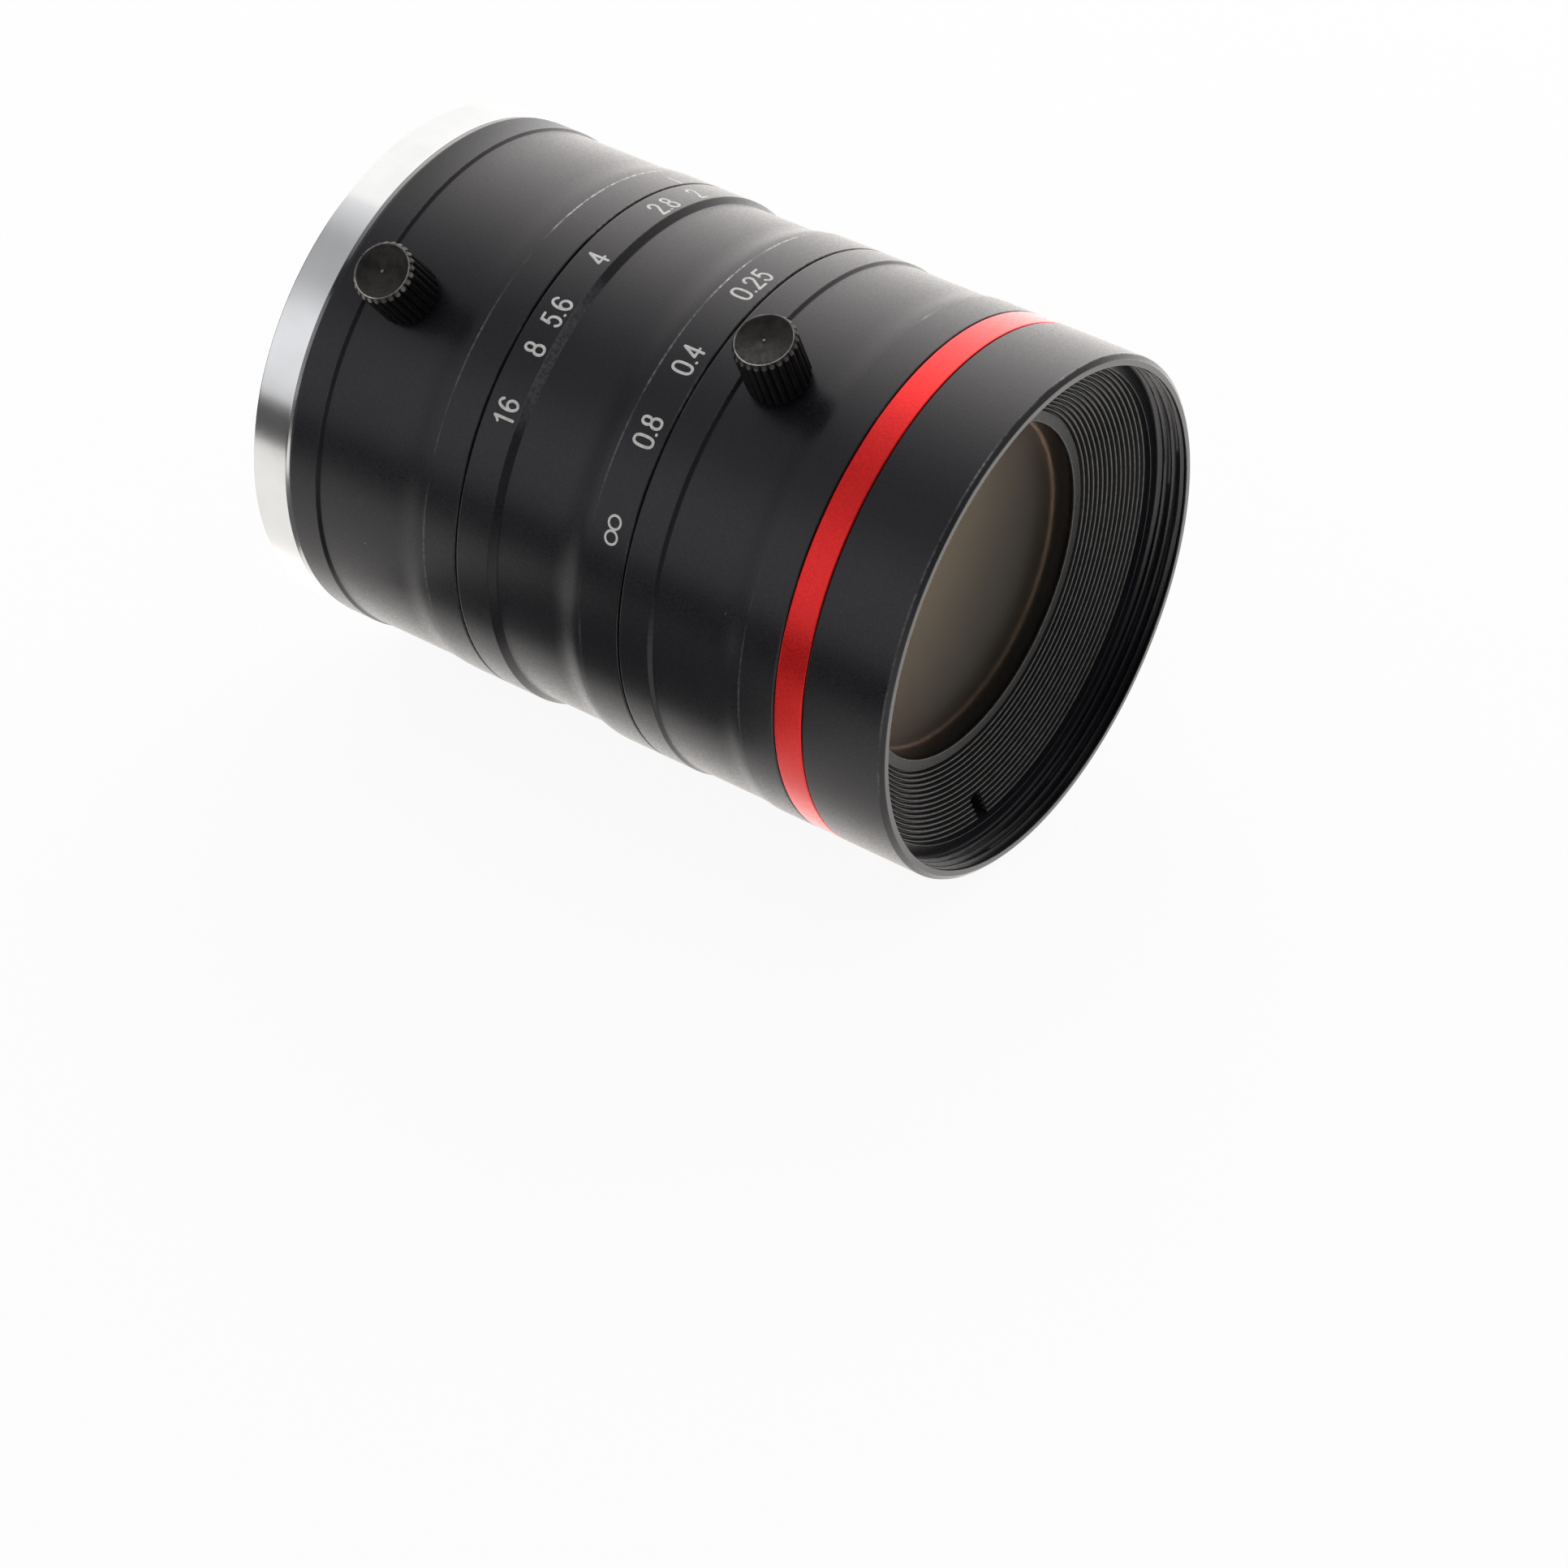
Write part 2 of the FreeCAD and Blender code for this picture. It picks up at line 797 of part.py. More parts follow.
def blade(index):
    """One iris blade with its two studs, at its own level along the axis."""
    x = blade_rear + axial_play + index * blade_pitch
    eye = polar(x, blade_pivot_radius, 0)
    lever = lever_point(x, 0)
    inward = blade_neck_length + cutter_reach
    neck = Part.makeBox(
        blade_thickness,
        inward,
        2 * blade_eye_radius,
        Vector(x, blade_pivot_radius - inward, -blade_eye_radius),
    )
    arm = Part.makeBox(
        blade_thickness, blade_lever, 2 * lever_eye_radius, Vector(x, 0, -lever_eye_radius)
    )
    arm.rotate(Vector(x, 0, 0), AXIS, blade_lever_angle)
    arm.translate(polar(0, blade_pivot_radius, 0))
    leaf = sector(
        x, blade_thickness, blade_inner_radius, blade_outer_radius, blade_start_angle, blade_end_angle
    )
    stud_rear = iris_plate_rear + stud_gap
    pieces = [
        neck,
        arm,
        Part.makeCylinder(blade_eye_radius, blade_thickness, eye, AXIS),
        Part.makeCylinder(lever_eye_radius, blade_thickness, lever, AXIS),
        Part.makeCylinder(
            blade_stud_radius,
            x + blade_thickness - stud_rear,
            Vector(stud_rear, eye.y, eye.z),
            AXIS,
        ),
        Part.makeCylinder(blade_stud_radius, actuator_front - stud_end_gap - x, lever, AXIS),
    ]
    return turned(leaf.fuse(pieces).removeSplitter(), pivot(index))


def cam_slot():
    """The actuator's slot for one drive stud. Its shape turns the blade at a steady rate."""
    half = blade_stud_radius + pin_clearance
    x = actuator_rear - cutter_reach
    length = actuator_length + 2 * cutter_reach
    centres = []
    for i in range(cam_points + 1):
        ring = -cam_spare_angle + (iris_turn + 2 * cam_spare_angle) * i / cam_points
        point = lever_point(x, blade_turn * ring / iris_turn)
        angle = math.radians(-ring)
        y = point.y * math.cos(angle) - point.z * math.sin(angle)
        z = point.y * math.sin(angle) + point.z * math.cos(angle)
        centres.append(Vector(x, y, z))
    sides = {1: [], -1: []}
    for i, centre in enumerate(centres):
        ahead = centres[min(i + 1, cam_points)]
        behind = centres[max(i - 1, 0)]
        along = (ahead - behind).normalize()
        across = AXIS.cross(along)
        for side in sides:
            sides[side].append(centre + across * (side * half))
    curves = {}
    for side, points in sides.items():
        curves[side] = Part.BSplineCurve()
        curves[side].interpolate(points)
    edges = [
        curves[1].toShape(),
        Part.LineSegment(sides[1][-1], sides[-1][-1]).toShape(),
        curves[-1].toShape(),
        Part.LineSegment(sides[-1][0], sides[1][0]).toShape(),
    ]
    channel = Part.Face(Part.Wire(Part.__sortEdges__(edges))).extrude(Vector(length, 0, 0))
    ends = [Part.makeCylinder(half, length, centres[i], AXIS) for i in (0, -1)]
    return channel.fuse(ends)


def iris_actuator():
    """Ring with one cam slot for each blade, turned by the aperture ring's pin."""
    body = tube(actuator_rear, actuator_front, iris_opening_radius, cell_radius)
    slot = cam_slot()
    slots = [turned(slot, pivot(i)) for i in range(blade_count)]
    low = cell_radius - drive_pin_depth
    notch = radial_pin(drive_pin_x, drive_pin_angle, drive_pin_radius, low, bore_radius + cutter_reach)
    return body.cut(slots + [notch])


def iris_snap_ring():
    """Open spring ring that keeps the actuator in the barrel."""
    outer = bore_radius + snap_ring_groove - running_clearance
    body = tube(snap_ring_rear, snap_ring_rear + snap_ring_thickness, outer - snap_ring_width, outer)
    gap = radial_box(
        snap_ring_rear - cutter_reach,
        snap_ring_thickness + 2 * cutter_reach,
        2 * outer * math.sin(math.radians(snap_ring_opening / 2)),
        outer - snap_ring_width - 2 * cutter_reach,
        outer + 2 * cutter_reach,
        clock(180),
    )
    return body.cut(gap)


def lock_screw(x, angle, tip_radius):
    """Thumb screw with a knurled head. Its point bears on the barrel under the ring."""
    low = barrel_radius + screw_head_lift
    top = low + screw_head_height
    shank_radius = screw_thread_radius - screw_clearance
    head_line = [
        (tip_radius, 0),
        (tip_radius, shank_radius - screw_head_bevel),
        (tip_radius + screw_head_bevel, shank_radius),
        (low, shank_radius),
        (low, screw_head_radius - screw_head_bevel),
        (low + screw_head_bevel, screw_head_radius),
        (top - screw_head_bevel, screw_head_radius),
        (top, screw_head_radius - screw_head_bevel),
        (top, 0),
    ]
    body = lathe(head_line)
    groove_start = Vector(low - cutter_reach, screw_head_radius, 0)
    groove = Part.makeCylinder(knurl_depth, screw_head_height + 2 * cutter_reach, groove_start, AXIS)
    grooves = [turned(groove, i * 360.0 / knurl_teeth) for i in range(knurl_teeth)]
    body = body.cut(grooves)
    body.rotate(ORIGIN, Vector(0, 1, 0), -90)
    body.rotate(ORIGIN, AXIS, clock(angle) - 90)
    body.translate(Vector(x, 0, 0))
    return body


shapes = {
    "mount_ring": mount_ring(),
    "main_barrel": main_barrel(),
    "guide_key": guide_key(),
    "scale_barrel": scale_barrel(),
    "focus_retainer": focus_retainer(),
    "iris_washer": washer(iris_front),
    "focus_washer": washer(scale_front),
    "rear_cell": rear_cell(),
    "rear_flint": rear_flint(),
    "rear_crown": rear_crown(),
    "rear_spacer": rear_spacer(),
    "rear_lens": rear_lens(),
    "rear_retainer": rear_retainer(),
    "iris_housing": iris_housing(),
    "iris_snap_ring": iris_snap_ring(),
    "iris_ring": iris_ring(),
    "iris_drive_pin": iris_drive_pin(),
    "iris_actuator": iris_actuator(),
    "iris_lock_screw": lock_screw(iris_screw_x, iris_screw_angle, bearing_radius + screw_tip_gap),
    "focus_ring": focus_ring(),
    "red_ring": red_ring(),
    "front_hood": front_hood(),
    "front_baffle": baffle(),
    "front_lens": front_lens(),
    "front_spacer": front_spacer(),
    "second_lens": second_lens(),
    "focus_lock_screw": lock_screw(focus_screw_x, focus_screw_angle, retainer_radius + screw_tip_gap),
    "focus_cell": focus_cell(),
    "cell_rear_lens": cell_rear_lens(),
    "cell_spacer": cell_spacer(),
    "cell_front_lens": cell_front_lens(),
    "cell_retainer": cell_retainer(),
}
for number in range(blade_count):
    shapes["iris_blade_%d" % (number + 1)] = blade(number)

os.makedirs("parts", exist_ok=True)
for name, shape in shapes.items():
    shape.exportStep("parts/" + name + ".step")
    low, high = shape.BoundBox.XMin, shape.BoundBox.XMax
    print("%-18s solids %d  volume %9.2f  x %.2f to %.2f  valid %s" % (
        name, len(shape.Solids), shape.Volume, low, high, shape.isValid()))
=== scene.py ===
# %% [markdown]
# A manual machine vision lens lies on a white table. Its solids come from the packed
# model, in metres, with the optical axis along X and the flange of the mount at the
# origin. Everything made here sits in that same frame, so no piece needs fitting.
# The sizes below are in millimetres, as on a drawing, and MM turns them into metres.

# %% Load the frame
import json
import math
import bmesh
import bpy
from mathutils import Matrix, Vector


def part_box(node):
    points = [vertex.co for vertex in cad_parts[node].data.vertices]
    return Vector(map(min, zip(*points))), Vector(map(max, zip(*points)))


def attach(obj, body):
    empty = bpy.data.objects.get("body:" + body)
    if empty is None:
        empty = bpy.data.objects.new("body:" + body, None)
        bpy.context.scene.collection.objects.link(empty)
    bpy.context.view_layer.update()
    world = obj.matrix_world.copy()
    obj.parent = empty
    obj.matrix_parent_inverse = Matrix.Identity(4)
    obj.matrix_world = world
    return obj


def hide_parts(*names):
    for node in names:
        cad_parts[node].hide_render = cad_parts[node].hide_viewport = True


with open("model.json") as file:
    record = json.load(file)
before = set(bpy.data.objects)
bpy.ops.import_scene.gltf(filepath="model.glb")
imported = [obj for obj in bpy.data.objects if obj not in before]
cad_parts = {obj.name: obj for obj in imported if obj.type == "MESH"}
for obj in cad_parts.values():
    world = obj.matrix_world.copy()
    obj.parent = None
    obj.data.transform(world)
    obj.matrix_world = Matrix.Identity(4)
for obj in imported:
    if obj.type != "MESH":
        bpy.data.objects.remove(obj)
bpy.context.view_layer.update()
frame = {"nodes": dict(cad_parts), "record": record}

MM = 0.001
record = frame["record"]
slot_of = {part["node"]: part["material_slot"] for part in record["subparts"]}

# %% [markdown]
# The camera stands in front of the lens, above it and to one side, with a long focal
# length, as for a catalogue picture. Its place was found from the circles on the
# barrel. It looks straight at the middle of the view, without any shift.

# %% Camera
def new_object(name, data):
    """An object in the scene that shows this mesh, light or camera."""
    made = bpy.data.objects.new(name, data)
    bpy.context.scene.collection.objects.link(made)
    return made


camera = new_object("camera", bpy.data.cameras.new("camera"))
to_camera = Vector((0.446, -0.620, 0.645)).normalized()
camera.location = (0.214387, -0.246413, 0.227447)
camera.rotation_euler = (-to_camera).to_track_quat("-Z", "Y").to_euler()
camera.data.lens = 108.12
camera.data.sensor_width = 36
camera.data.clip_start = 0.01
bpy.context.scene.camera = camera
bpy.context.scene.view_settings.view_transform = "Standard"
print("camera", [round(v, 4) for v in camera.location])

# %% [markdown]
# Node trees are written many times below, for shapes and for finishes, so a few short
# helpers come first. One makes a node and fills its inputs in order, with a socket or
# a plain value. The others are for sums, ranges and vectors, where only the result is
# of interest.

# %% Helpers for node trees
def add_node(tree, kind, *inputs, **settings):
    """A node with its settings, and its inputs filled in order. None leaves one as it is."""
    made = tree.nodes.new(kind)
    for key, value in settings.items():
        setattr(made, key, value)
    for socket, value in zip(made.inputs, inputs):
        if isinstance(value, bpy.types.NodeSocket):
            tree.links.new(value, socket)
        elif value is not None:
            socket.default_value = value
    return made


def calc(tree, operation, *values, clamp=False):
    """The result of one step of arithmetic."""
    return add_node(tree, "ShaderNodeMath", *values, operation=operation, use_clamp=clamp).outputs[0]


def times(tree, first, second):
    return calc(tree, "MULTIPLY", first, second)


def minus(tree, first, second):
    return calc(tree, "SUBTRACT", first, second)


def plus(tree, first, second):
    return calc(tree, "ADD", first, second)


def soft_step(tree, value, low, high, out_low=0.0, out_high=1.0):
    """The value stretched from one range to another, with soft ends."""
    return add_node(tree, "ShaderNodeMapRange", value, low, high, out_low, out_high,
                    interpolation_type="SMOOTHSTEP").outputs[0]


def split(tree, vector):
    """The three parts of a vector."""
    return add_node(tree, "ShaderNodeSeparateXYZ", vector).outputs


def coordinates(tree, kind):
    return add_node(tree, "ShaderNodeTexCoord").outputs[kind]


def on_circle(tree, x, radius, angle):
    """The place at a station and a radius, turned by an angle about the axis from straight up."""
    return add_node(tree, "ShaderNodeCombineXYZ", x, times(tree, radius, calc(tree, "SINE", angle)),
                    times(tree, radius, calc(tree, "COSINE", angle))).outputs[0]


# %% [markdown]
# The lens is photographed on a white sweep in soft light. What its polished and satin
# faces mirror is a long soft glow behind it, a white wall on the camera's side, and a
# duller ceiling between the two. All three run along the lens, so their brightness is
# written as a row of levels by the angle round the lens's axis, with 0 straight up and
# 90 behind the lens. Towards the lens's two ends the room is darker. Diffuse surfaces
# get one even level from it, and a softbox adds the rest.

# %% Room light
world = bpy.data.worlds.new("studio")
bpy.context.scene.world = world
world.use_nodes = True
room = world.node_tree
room.nodes.clear()

DIFFUSE_LEVEL = 0.60
MIRRORED = {
    -180: 0.9, -90: 0.9, -72: 1.04, -54: 1.06, -38: 0.52, -16: 0.45, 4: 1.0,
    24: 2.0, 44: 2.7, 64: 2.95, 84: 2.75, 104: 2.2, 180: 1.0,
}
BRIGHTEST = 4.0
WARM, COOL = (1.0, 0.965, 0.945), (0.97, 0.975, 1.0)
ray = split(room, coordinates(room, "Generated"))
around = calc(room, "DIVIDE", calc(room, "ARCTAN2", ray[1], ray[2]), 2 * math.pi)
ramp = add_node(room, "ShaderNodeValToRGB", plus(room, around, 0.5))
stops = ramp.color_ramp.elements
while len(stops) < len(MIRRORED):
    stops.new(0.5)
for stop, (degrees, bright_level) in zip(stops, MIRRORED.items()):
    stop.position = degrees / 360 + 0.5
    tint = WARM if degrees > 20 else COOL
    stop.color = (*[part * bright_level / BRIGHTEST for part in tint], 1)
sideways = calc(room, "ABSOLUTE", plus(room, ray[0], 0.38))
towards_ends = soft_step(room, sideways, 0.0, 0.75, BRIGHTEST, 0.2 * BRIGHTEST)
path = add_node(room, "ShaderNodeLightPath")
plain = calc(room, "MAXIMUM", path.outputs["Is Camera Ray"], path.outputs["Is Transmission Ray"])
even = add_node(room, "ShaderNodeBackground", (1.0, 1.0, 1.0, 1.0), calc(room, "MAXIMUM", plain, DIFFUSE_LEVEL))
shown_in_gloss = add_node(room, "ShaderNodeBackground", ramp.outputs[0], towards_ends)
in_gloss = path.outputs["Is Glossy Ray"]
both = add_node(room, "ShaderNodeMixShader", in_gloss, even.outputs[0], shown_in_gloss.outputs[0])
add_node(room, "ShaderNodeOutputWorld", both.outputs[0])
print("room nodes", len(room.nodes))

# %% [markdown]
# One large softbox stands behind the lens and above it. Its power follows from how
# bright its face is to be, and nothing mirrors it, because the room's glow stands for it.

# %% Softbox
WIDTH, HEIGHT, RADIANCE, DISTANCE = 0.90, 0.62, 2.4, 0.75
light = bpy.data.lights.new("back_softbox", "AREA")
light.shape = "RECTANGLE"
light.size, light.size_y = WIDTH, HEIGHT
light.energy = math.pi * RADIANCE * WIDTH * HEIGHT
lamp = new_object("back_softbox", light)
away = Vector((-0.30, 0.80, 0.50)).normalized()
lamp.location = Vector((0.03, 0, 0)) + away * DISTANCE
lamp.rotation_euler = away.to_track_quat("Z", "Y").to_euler()
lamp.visible_glossy = False
print("softbox power", round(light.energy, 2))

# %% [markdown]
# The table is one large plain sheet. It is white by itself for the camera and for what
# mirrors it, and takes the rest from the light, so that the lens still casts a faint
# shadow. What mirrors it finds it brighter from beneath the lens towards the softbox.
# Cards shape the reflections, as in a studio. A low dark one on the camera's side draws
# the thin dark band that tells the eye that the mount ring is polished and round. One
# lies on the table, so that the lower side stays deep. A small one behind the mount
# stands for the dark inside of a camera, and only what shines through the glass meets
# it. A collar behind the mount ring glows by its own emission and is seen only in
# reflections: a painted reflection, dimmer than the room's glow, that tames the lamp's
# glare on the ring.

# %% Floor and cards
def flat_sheet(name, corners, faces=None):
    """A sheet that isn't part of the object, with its material's tree and shader."""
    mesh = bpy.data.meshes.new(name)
    mesh.from_pydata([Vector(c) for c in corners], [], faces or [tuple(range(len(corners)))])
    sheet = new_object(name, mesh)
    material = bpy.data.materials.new(name)
    material.use_nodes = True
    mesh.materials.append(material)
    shader = material.node_tree.nodes["Principled BSDF"]
    shader.inputs["Roughness"].default_value = 0.9
    shader.inputs["Specular IOR Level"].default_value = 0.0
    return sheet, material.node_tree, shader


def beside_axis(x, radius, angle):
    """A point at a station and a radius in millimetres, turned about the axis from straight up."""
    return x * MM, radius * MM * math.sin(angle), radius * MM * math.cos(angle)


TABLE = -22.0 * MM
HALF = 2.5
OWN_WHITE = {"Is Camera Ray": 0.93, "Is Glossy Ray": 0.85, "Is Transmission Ray": 0.85}
square = ((-HALF, -HALF), (HALF, -HALF), (HALF, HALF), (-HALF, HALF))
_, tree, shader = flat_sheet("floor", [(x, y, TABLE) for x, y in square])
shader.inputs["Base Color"].default_value = (0.94, 0.94, 0.94, 1)
path = add_node(tree, "ShaderNodeLightPath")
share = 0.0
for kind, amount in OWN_WHITE.items():
    share = calc(tree, "MAXIMUM", share, times(tree, path.outputs[kind], amount))
in_gloss = path.outputs["Is Glossy Ray"]
depth = split(tree, coordinates(tree, "Object"))[1]
beneath = soft_step(tree, depth, -0.026, -0.014, 0.0, 1.1)
beside_lamp = soft_step(tree, depth, 0.01, 0.12, 0.0, 0.6)
glow = times(tree, plus(tree, beneath, beside_lamp), in_gloss)
warmth = [minus(tree, 1.0, times(tree, in_gloss, less)) for less in (0.0, 0.03, 0.06)]
warmth = add_node(tree, "ShaderNodeCombineColor", *warmth).outputs[0]
own = add_node(tree, "ShaderNodeEmission", warmth, plus(tree, 1.0, glow))
mixed = add_node(tree, "ShaderNodeMixShader", share, shader.outputs[0], own.outputs[0])
tree.links.new(mixed.outputs[0], tree.nodes["Material Output"].inputs["Surface"])

JUST_ABOVE = TABLE + 1e-4
standing = ((-0.3, TABLE), (0.1, TABLE), (0.1, 0.006), (-0.3, 0.006))
lying = ((0.002, -0.082), (0.020, -0.082), (0.036, -0.05), (0.041, -0.027), (0.002, -0.027))
CARDS = {
    "near_card": ([(x, -0.085, z) for x, z in standing], 0.04),
    "side_card": ([(x, y, JUST_ABOVE) for x, y in lying], 0.22),
    "rear_card": ([beside_axis(-5.0, 14, i * math.pi / 16) for i in range(32)], 0.01),
}
for name, (corners, grey) in CARDS.items():
    card, _, shader = flat_sheet(name, corners)
    shader.inputs["Base Color"].default_value = (grey, grey, grey, 1)
    card.visible_camera = card.visible_diffuse = card.visible_shadow = False
    card.visible_transmission, card.visible_glossy = name == "rear_card", name != "rear_card"

COLLAR_RADIUS, COLLAR_BACK, STRIPS = 30, -60.0, 10
edge_at = [(math.radians(-15 + 11 * i), -0.4 - 5.4 * (i / STRIPS) ** 1.6) for i in range(STRIPS + 1)]
points = [beside_axis(x, COLLAR_RADIUS, a) for a, x in edge_at]
points += [beside_axis(COLLAR_BACK, COLLAR_RADIUS, a) for a, _ in edge_at]
strips = [(i, i + 1, i + STRIPS + 2, i + STRIPS + 1) for i in range(STRIPS)]
collar, _, shader = flat_sheet("glowing_collar", points, strips)
# The collar glows by its own emission and only reflections see it: a painted reflection.
shader.inputs["Base Color"].default_value = (0, 0, 0, 1)
shader.inputs["Emission Color"].default_value = (1.0, 0.995, 0.98, 1)
shader.inputs["Emission Strength"].default_value = 1.12
collar.visible_camera = collar.visible_diffuse = collar.visible_shadow = collar.visible_transmission = False
print("table at", round(TABLE, 4))

# %% [markdown]
# Every finish starts from the same few parts: a Principled shader, the object's own
# coordinates in millimetres, and a bump. On an object at the origin those coordinates
# are the drawing's, so a grain of a tenth of a millimetre is simply a noise of scale
# ten, and it stays on the metal when the piece turns.

# %% Helpers for finishes
class Finish:
    """A material under construction, with its shader and its coordinates in millimetres."""

    def __init__(self, name, **sockets):
        self.material = bpy.data.materials.new(name)
        self.material.use_nodes = True
        self.tree = self.material.node_tree
        self.shader = self.tree.nodes["Principled BSDF"]
        for key, value in sockets.items():
            self.shader.inputs[key.replace("_", " ")].default_value = value
        place = coordinates(self.tree, "Object")
        self.place = add_node(self.tree, "ShaderNodeVectorMath", place, operation="SCALE").outputs[0]
        self.place.node.inputs["Scale"].default_value = 1 / MM

    def calc(self, operation, *values, clamp=False):
        return calc(self.tree, operation, *values, clamp=clamp)

    def times(self, first, second):
        return times(self.tree, first, second)

    def noise(self, scale, detail=2.0, vector=None):
        """Soft random grain, so many lumps to the millimetre."""
        made = add_node(self.tree, "ShaderNodeTexNoise")
        self.tree.links.new(vector or self.place, made.inputs["Vector"])
        made.inputs["Scale"].default_value = scale
        made.inputs["Detail"].default_value = detail
        return made.outputs["Fac"]

    def spread(self, value, low, high, out_low=0.0, out_high=1.0):
        return soft_step(self.tree, value, low, high, out_low, out_high)

    def patches(self, scale, detail, low, high, out_low=0.0, out_high=1.0):
        """Random grain that is stretched until it falls into patches."""
        return self.spread(self.noise(scale, detail), low, high, out_low, out_high)

    def mix(self, amount, first, second):
        """A blend of two colours."""
        made = add_node(self.tree, "ShaderNodeMix", data_type="RGBA")
        for key, value in (("Factor_Float", amount), ("A_Color", first), ("B_Color", second)):
            socket = next(s for s in made.inputs if s.identifier == key)
            if isinstance(value, bpy.types.NodeSocket):
                self.tree.links.new(value, socket)
            else:
                socket.default_value = (*value, 1)
        return next(s for s in made.outputs if s.identifier == "Result_Color")

    def attribute(self, name):
        return add_node(self.tree, "ShaderNodeAttribute", attribute_name=name).outputs["Fac"]

    def round_axis(self):
        """Coordinates that only change along the axis and outwards, for marks left by a lathe."""
        parts = split(self.tree, self.place)
        squares = self.calc("ADD", self.calc("POWER", parts[1], 2.0), self.calc("POWER", parts[2], 2.0))
        radius = self.calc("SQRT", squares)
        return add_node(self.tree, "ShaderNodeCombineXYZ", parts[0], radius).outputs[0]

    def specks(self, spacing, size, share):
        """Tiny round specks, one in a cell of that spacing, kept only in a share of the cells."""
        made = add_node(self.tree, "ShaderNodeTexVoronoi", feature="F1")
        self.tree.links.new(self.place, made.inputs["Vector"])
        made.inputs["Scale"].default_value = 1 / spacing
        near = self.spread(made.outputs["Distance"], size / spacing, 0.5 * size / spacing)
        chosen = split(self.tree, made.outputs["Color"])[0]
        return self.times(near, self.calc("LESS_THAN", chosen, share))

    def bump(self, height, depth, strength):
        """Raised and sunken grain. The depth is in millimetres."""
        made = add_node(self.tree, "ShaderNodeBump")
        made.inputs["Strength"].default_value = strength
        made.inputs["Distance"].default_value = depth * MM
        self.tree.links.new(height, made.inputs["Height"])
        return made.outputs[0]

    def wire(self, **sockets):
        """Links values to the shader's sockets and returns the finished material."""
        for key, value in sockets.items():
            self.tree.links.new(value, self.shader.inputs[key.replace("_", " ")])
        print("%-20s %2d nodes" % (self.material.name, len(self.tree.nodes)))
        return self.material


finishes = {}

# %% [markdown]
# Black anodised aluminium that was blasted with fine beads first. It is almost black,
# and what the eye sees is the soft sheen of its thin clear oxide. The grain is a bump
# far finer than a number's stroke. Along the edges of the raised lands the oxide has
# rubbed off to bare metal. The outline of each turned piece says where, in a value
# named wear, and a noise breaks the line up. These rubbed lines are also a painted
# highlight: they are painted brighter on the side towards the softbox and fade on the
# side away from it. A second value, scuff, is a duller grey, where the metal isn't bare,
# and a third, polish, is where a face was turned again after the blasting.

# %% Black anodised
black = Finish("black_anodised", Roughness=0.32, IOR=1.45)
rubbed_and_painted_highlight = black.times(black.attribute("wear"), black.patches(0.11, 3.0, 0.42, 0.60))
rubbed_and_painted_highlight = black.times(rubbed_and_painted_highlight, black.patches(2.6, 4.0, 0.32, 0.62, 0.25, 1.0))
towards_softbox = split(black.tree, black.place)[1]
# Painted highlight: the rubbed edges are brighter towards the softbox and fade on the far side.
rubbed_and_painted_highlight = black.times(rubbed_and_painted_highlight, black.spread(towards_softbox, -17.0, -8.0, 0.35, 1.0))
scuffed = black.times(black.attribute("scuff"), black.patches(4.0, 3.0, 0.3, 0.7, 0.10, 0.22))
dust = black.specks(2.2, 0.06, 0.20)
cloud = black.patches(0.12, 3.0, 0.35, 0.7)
tone = black.mix(cloud, (0.0058, 0.0051, 0.0078), (0.0080, 0.0070, 0.0100))
tone = black.mix(black.patches(6.0, 2.0, 0.40, 0.75, 0.0, 0.5), tone, (0.0165, 0.0150, 0.0195))
tone = black.mix(scuffed, tone, (0.30, 0.29, 0.32))
tone = black.mix(rubbed_and_painted_highlight, tone, (0.30, 0.30, 0.305))
tone = black.mix(dust, tone, (0.42, 0.41, 0.40))
gloss = black.patches(5.0, 3.0, 0.3, 0.7, 0.27, 0.36)
gloss = black.calc("SUBTRACT", gloss, black.times(black.attribute("polish"), 0.17))
grain = black.bump(black.noise(8.0, 3.0), 0.014, 0.6)
finishes["black_anodised"] = black.wire(Base_Color=tone, Metallic=rubbed_and_painted_highlight, Roughness=gloss, Normal=grain)

# %% [markdown]
# The accent ring is bright aluminium under a clear red dye. Part of the light comes
# back from the blasted metal as a soft red mirror and part is scattered in the dyed
# oxide, so the base is a mix of both, and the oxide's own face adds a white sheen that
# grows at a flat angle. Tiny flats left by the blasting sparkle in it.

# %% Red anodised
red = Finish("red_anodised", Metallic=0.60, IOR=1.45, Roughness=0.3,
             Coat_Weight=0.28, Coat_IOR=1.45, Coat_Roughness=0.30)
flecks = red.patches(6.0, 3.0, 0.35, 0.68)
tone = red.mix(flecks, (0.72, 0.007, 0.007), (0.88, 0.012, 0.011))
gloss = red.patches(3.0, 3.0, 0.3, 0.7, 0.26, 0.34)
grain = red.bump(red.noise(7.0, 3.0), 0.016, 0.7)
finishes["red_anodised"] = red.wire(Base_Color=tone, Roughness=gloss, Normal=grain)

# %% [markdown]
# The mount ring is turned brass with bright nickel, or plain polished steel. A lathe
# leaves fine rings round it. They are a noise that only changes along the axis and
# outwards, so each ring is the same all the way round.

# %% Bright turned metal
bright = Finish("bright_mount", Metallic=1.0, Roughness=0.16)
rings = bright.noise(26.0, 3.0, bright.round_axis())
stain = bright.patches(0.25, 4.0, 0.3, 0.8)
tone = bright.mix(stain, (0.86, 0.865, 0.87), (0.80, 0.80, 0.795))
gloss = bright.spread(rings, 0.3, 0.7, 0.14, 0.27)
grooves = bright.bump(rings, 0.0016, 0.6)
finishes["bright_mount"] = bright.wire(Base_Color=tone, Roughness=gloss, Normal=grooves)
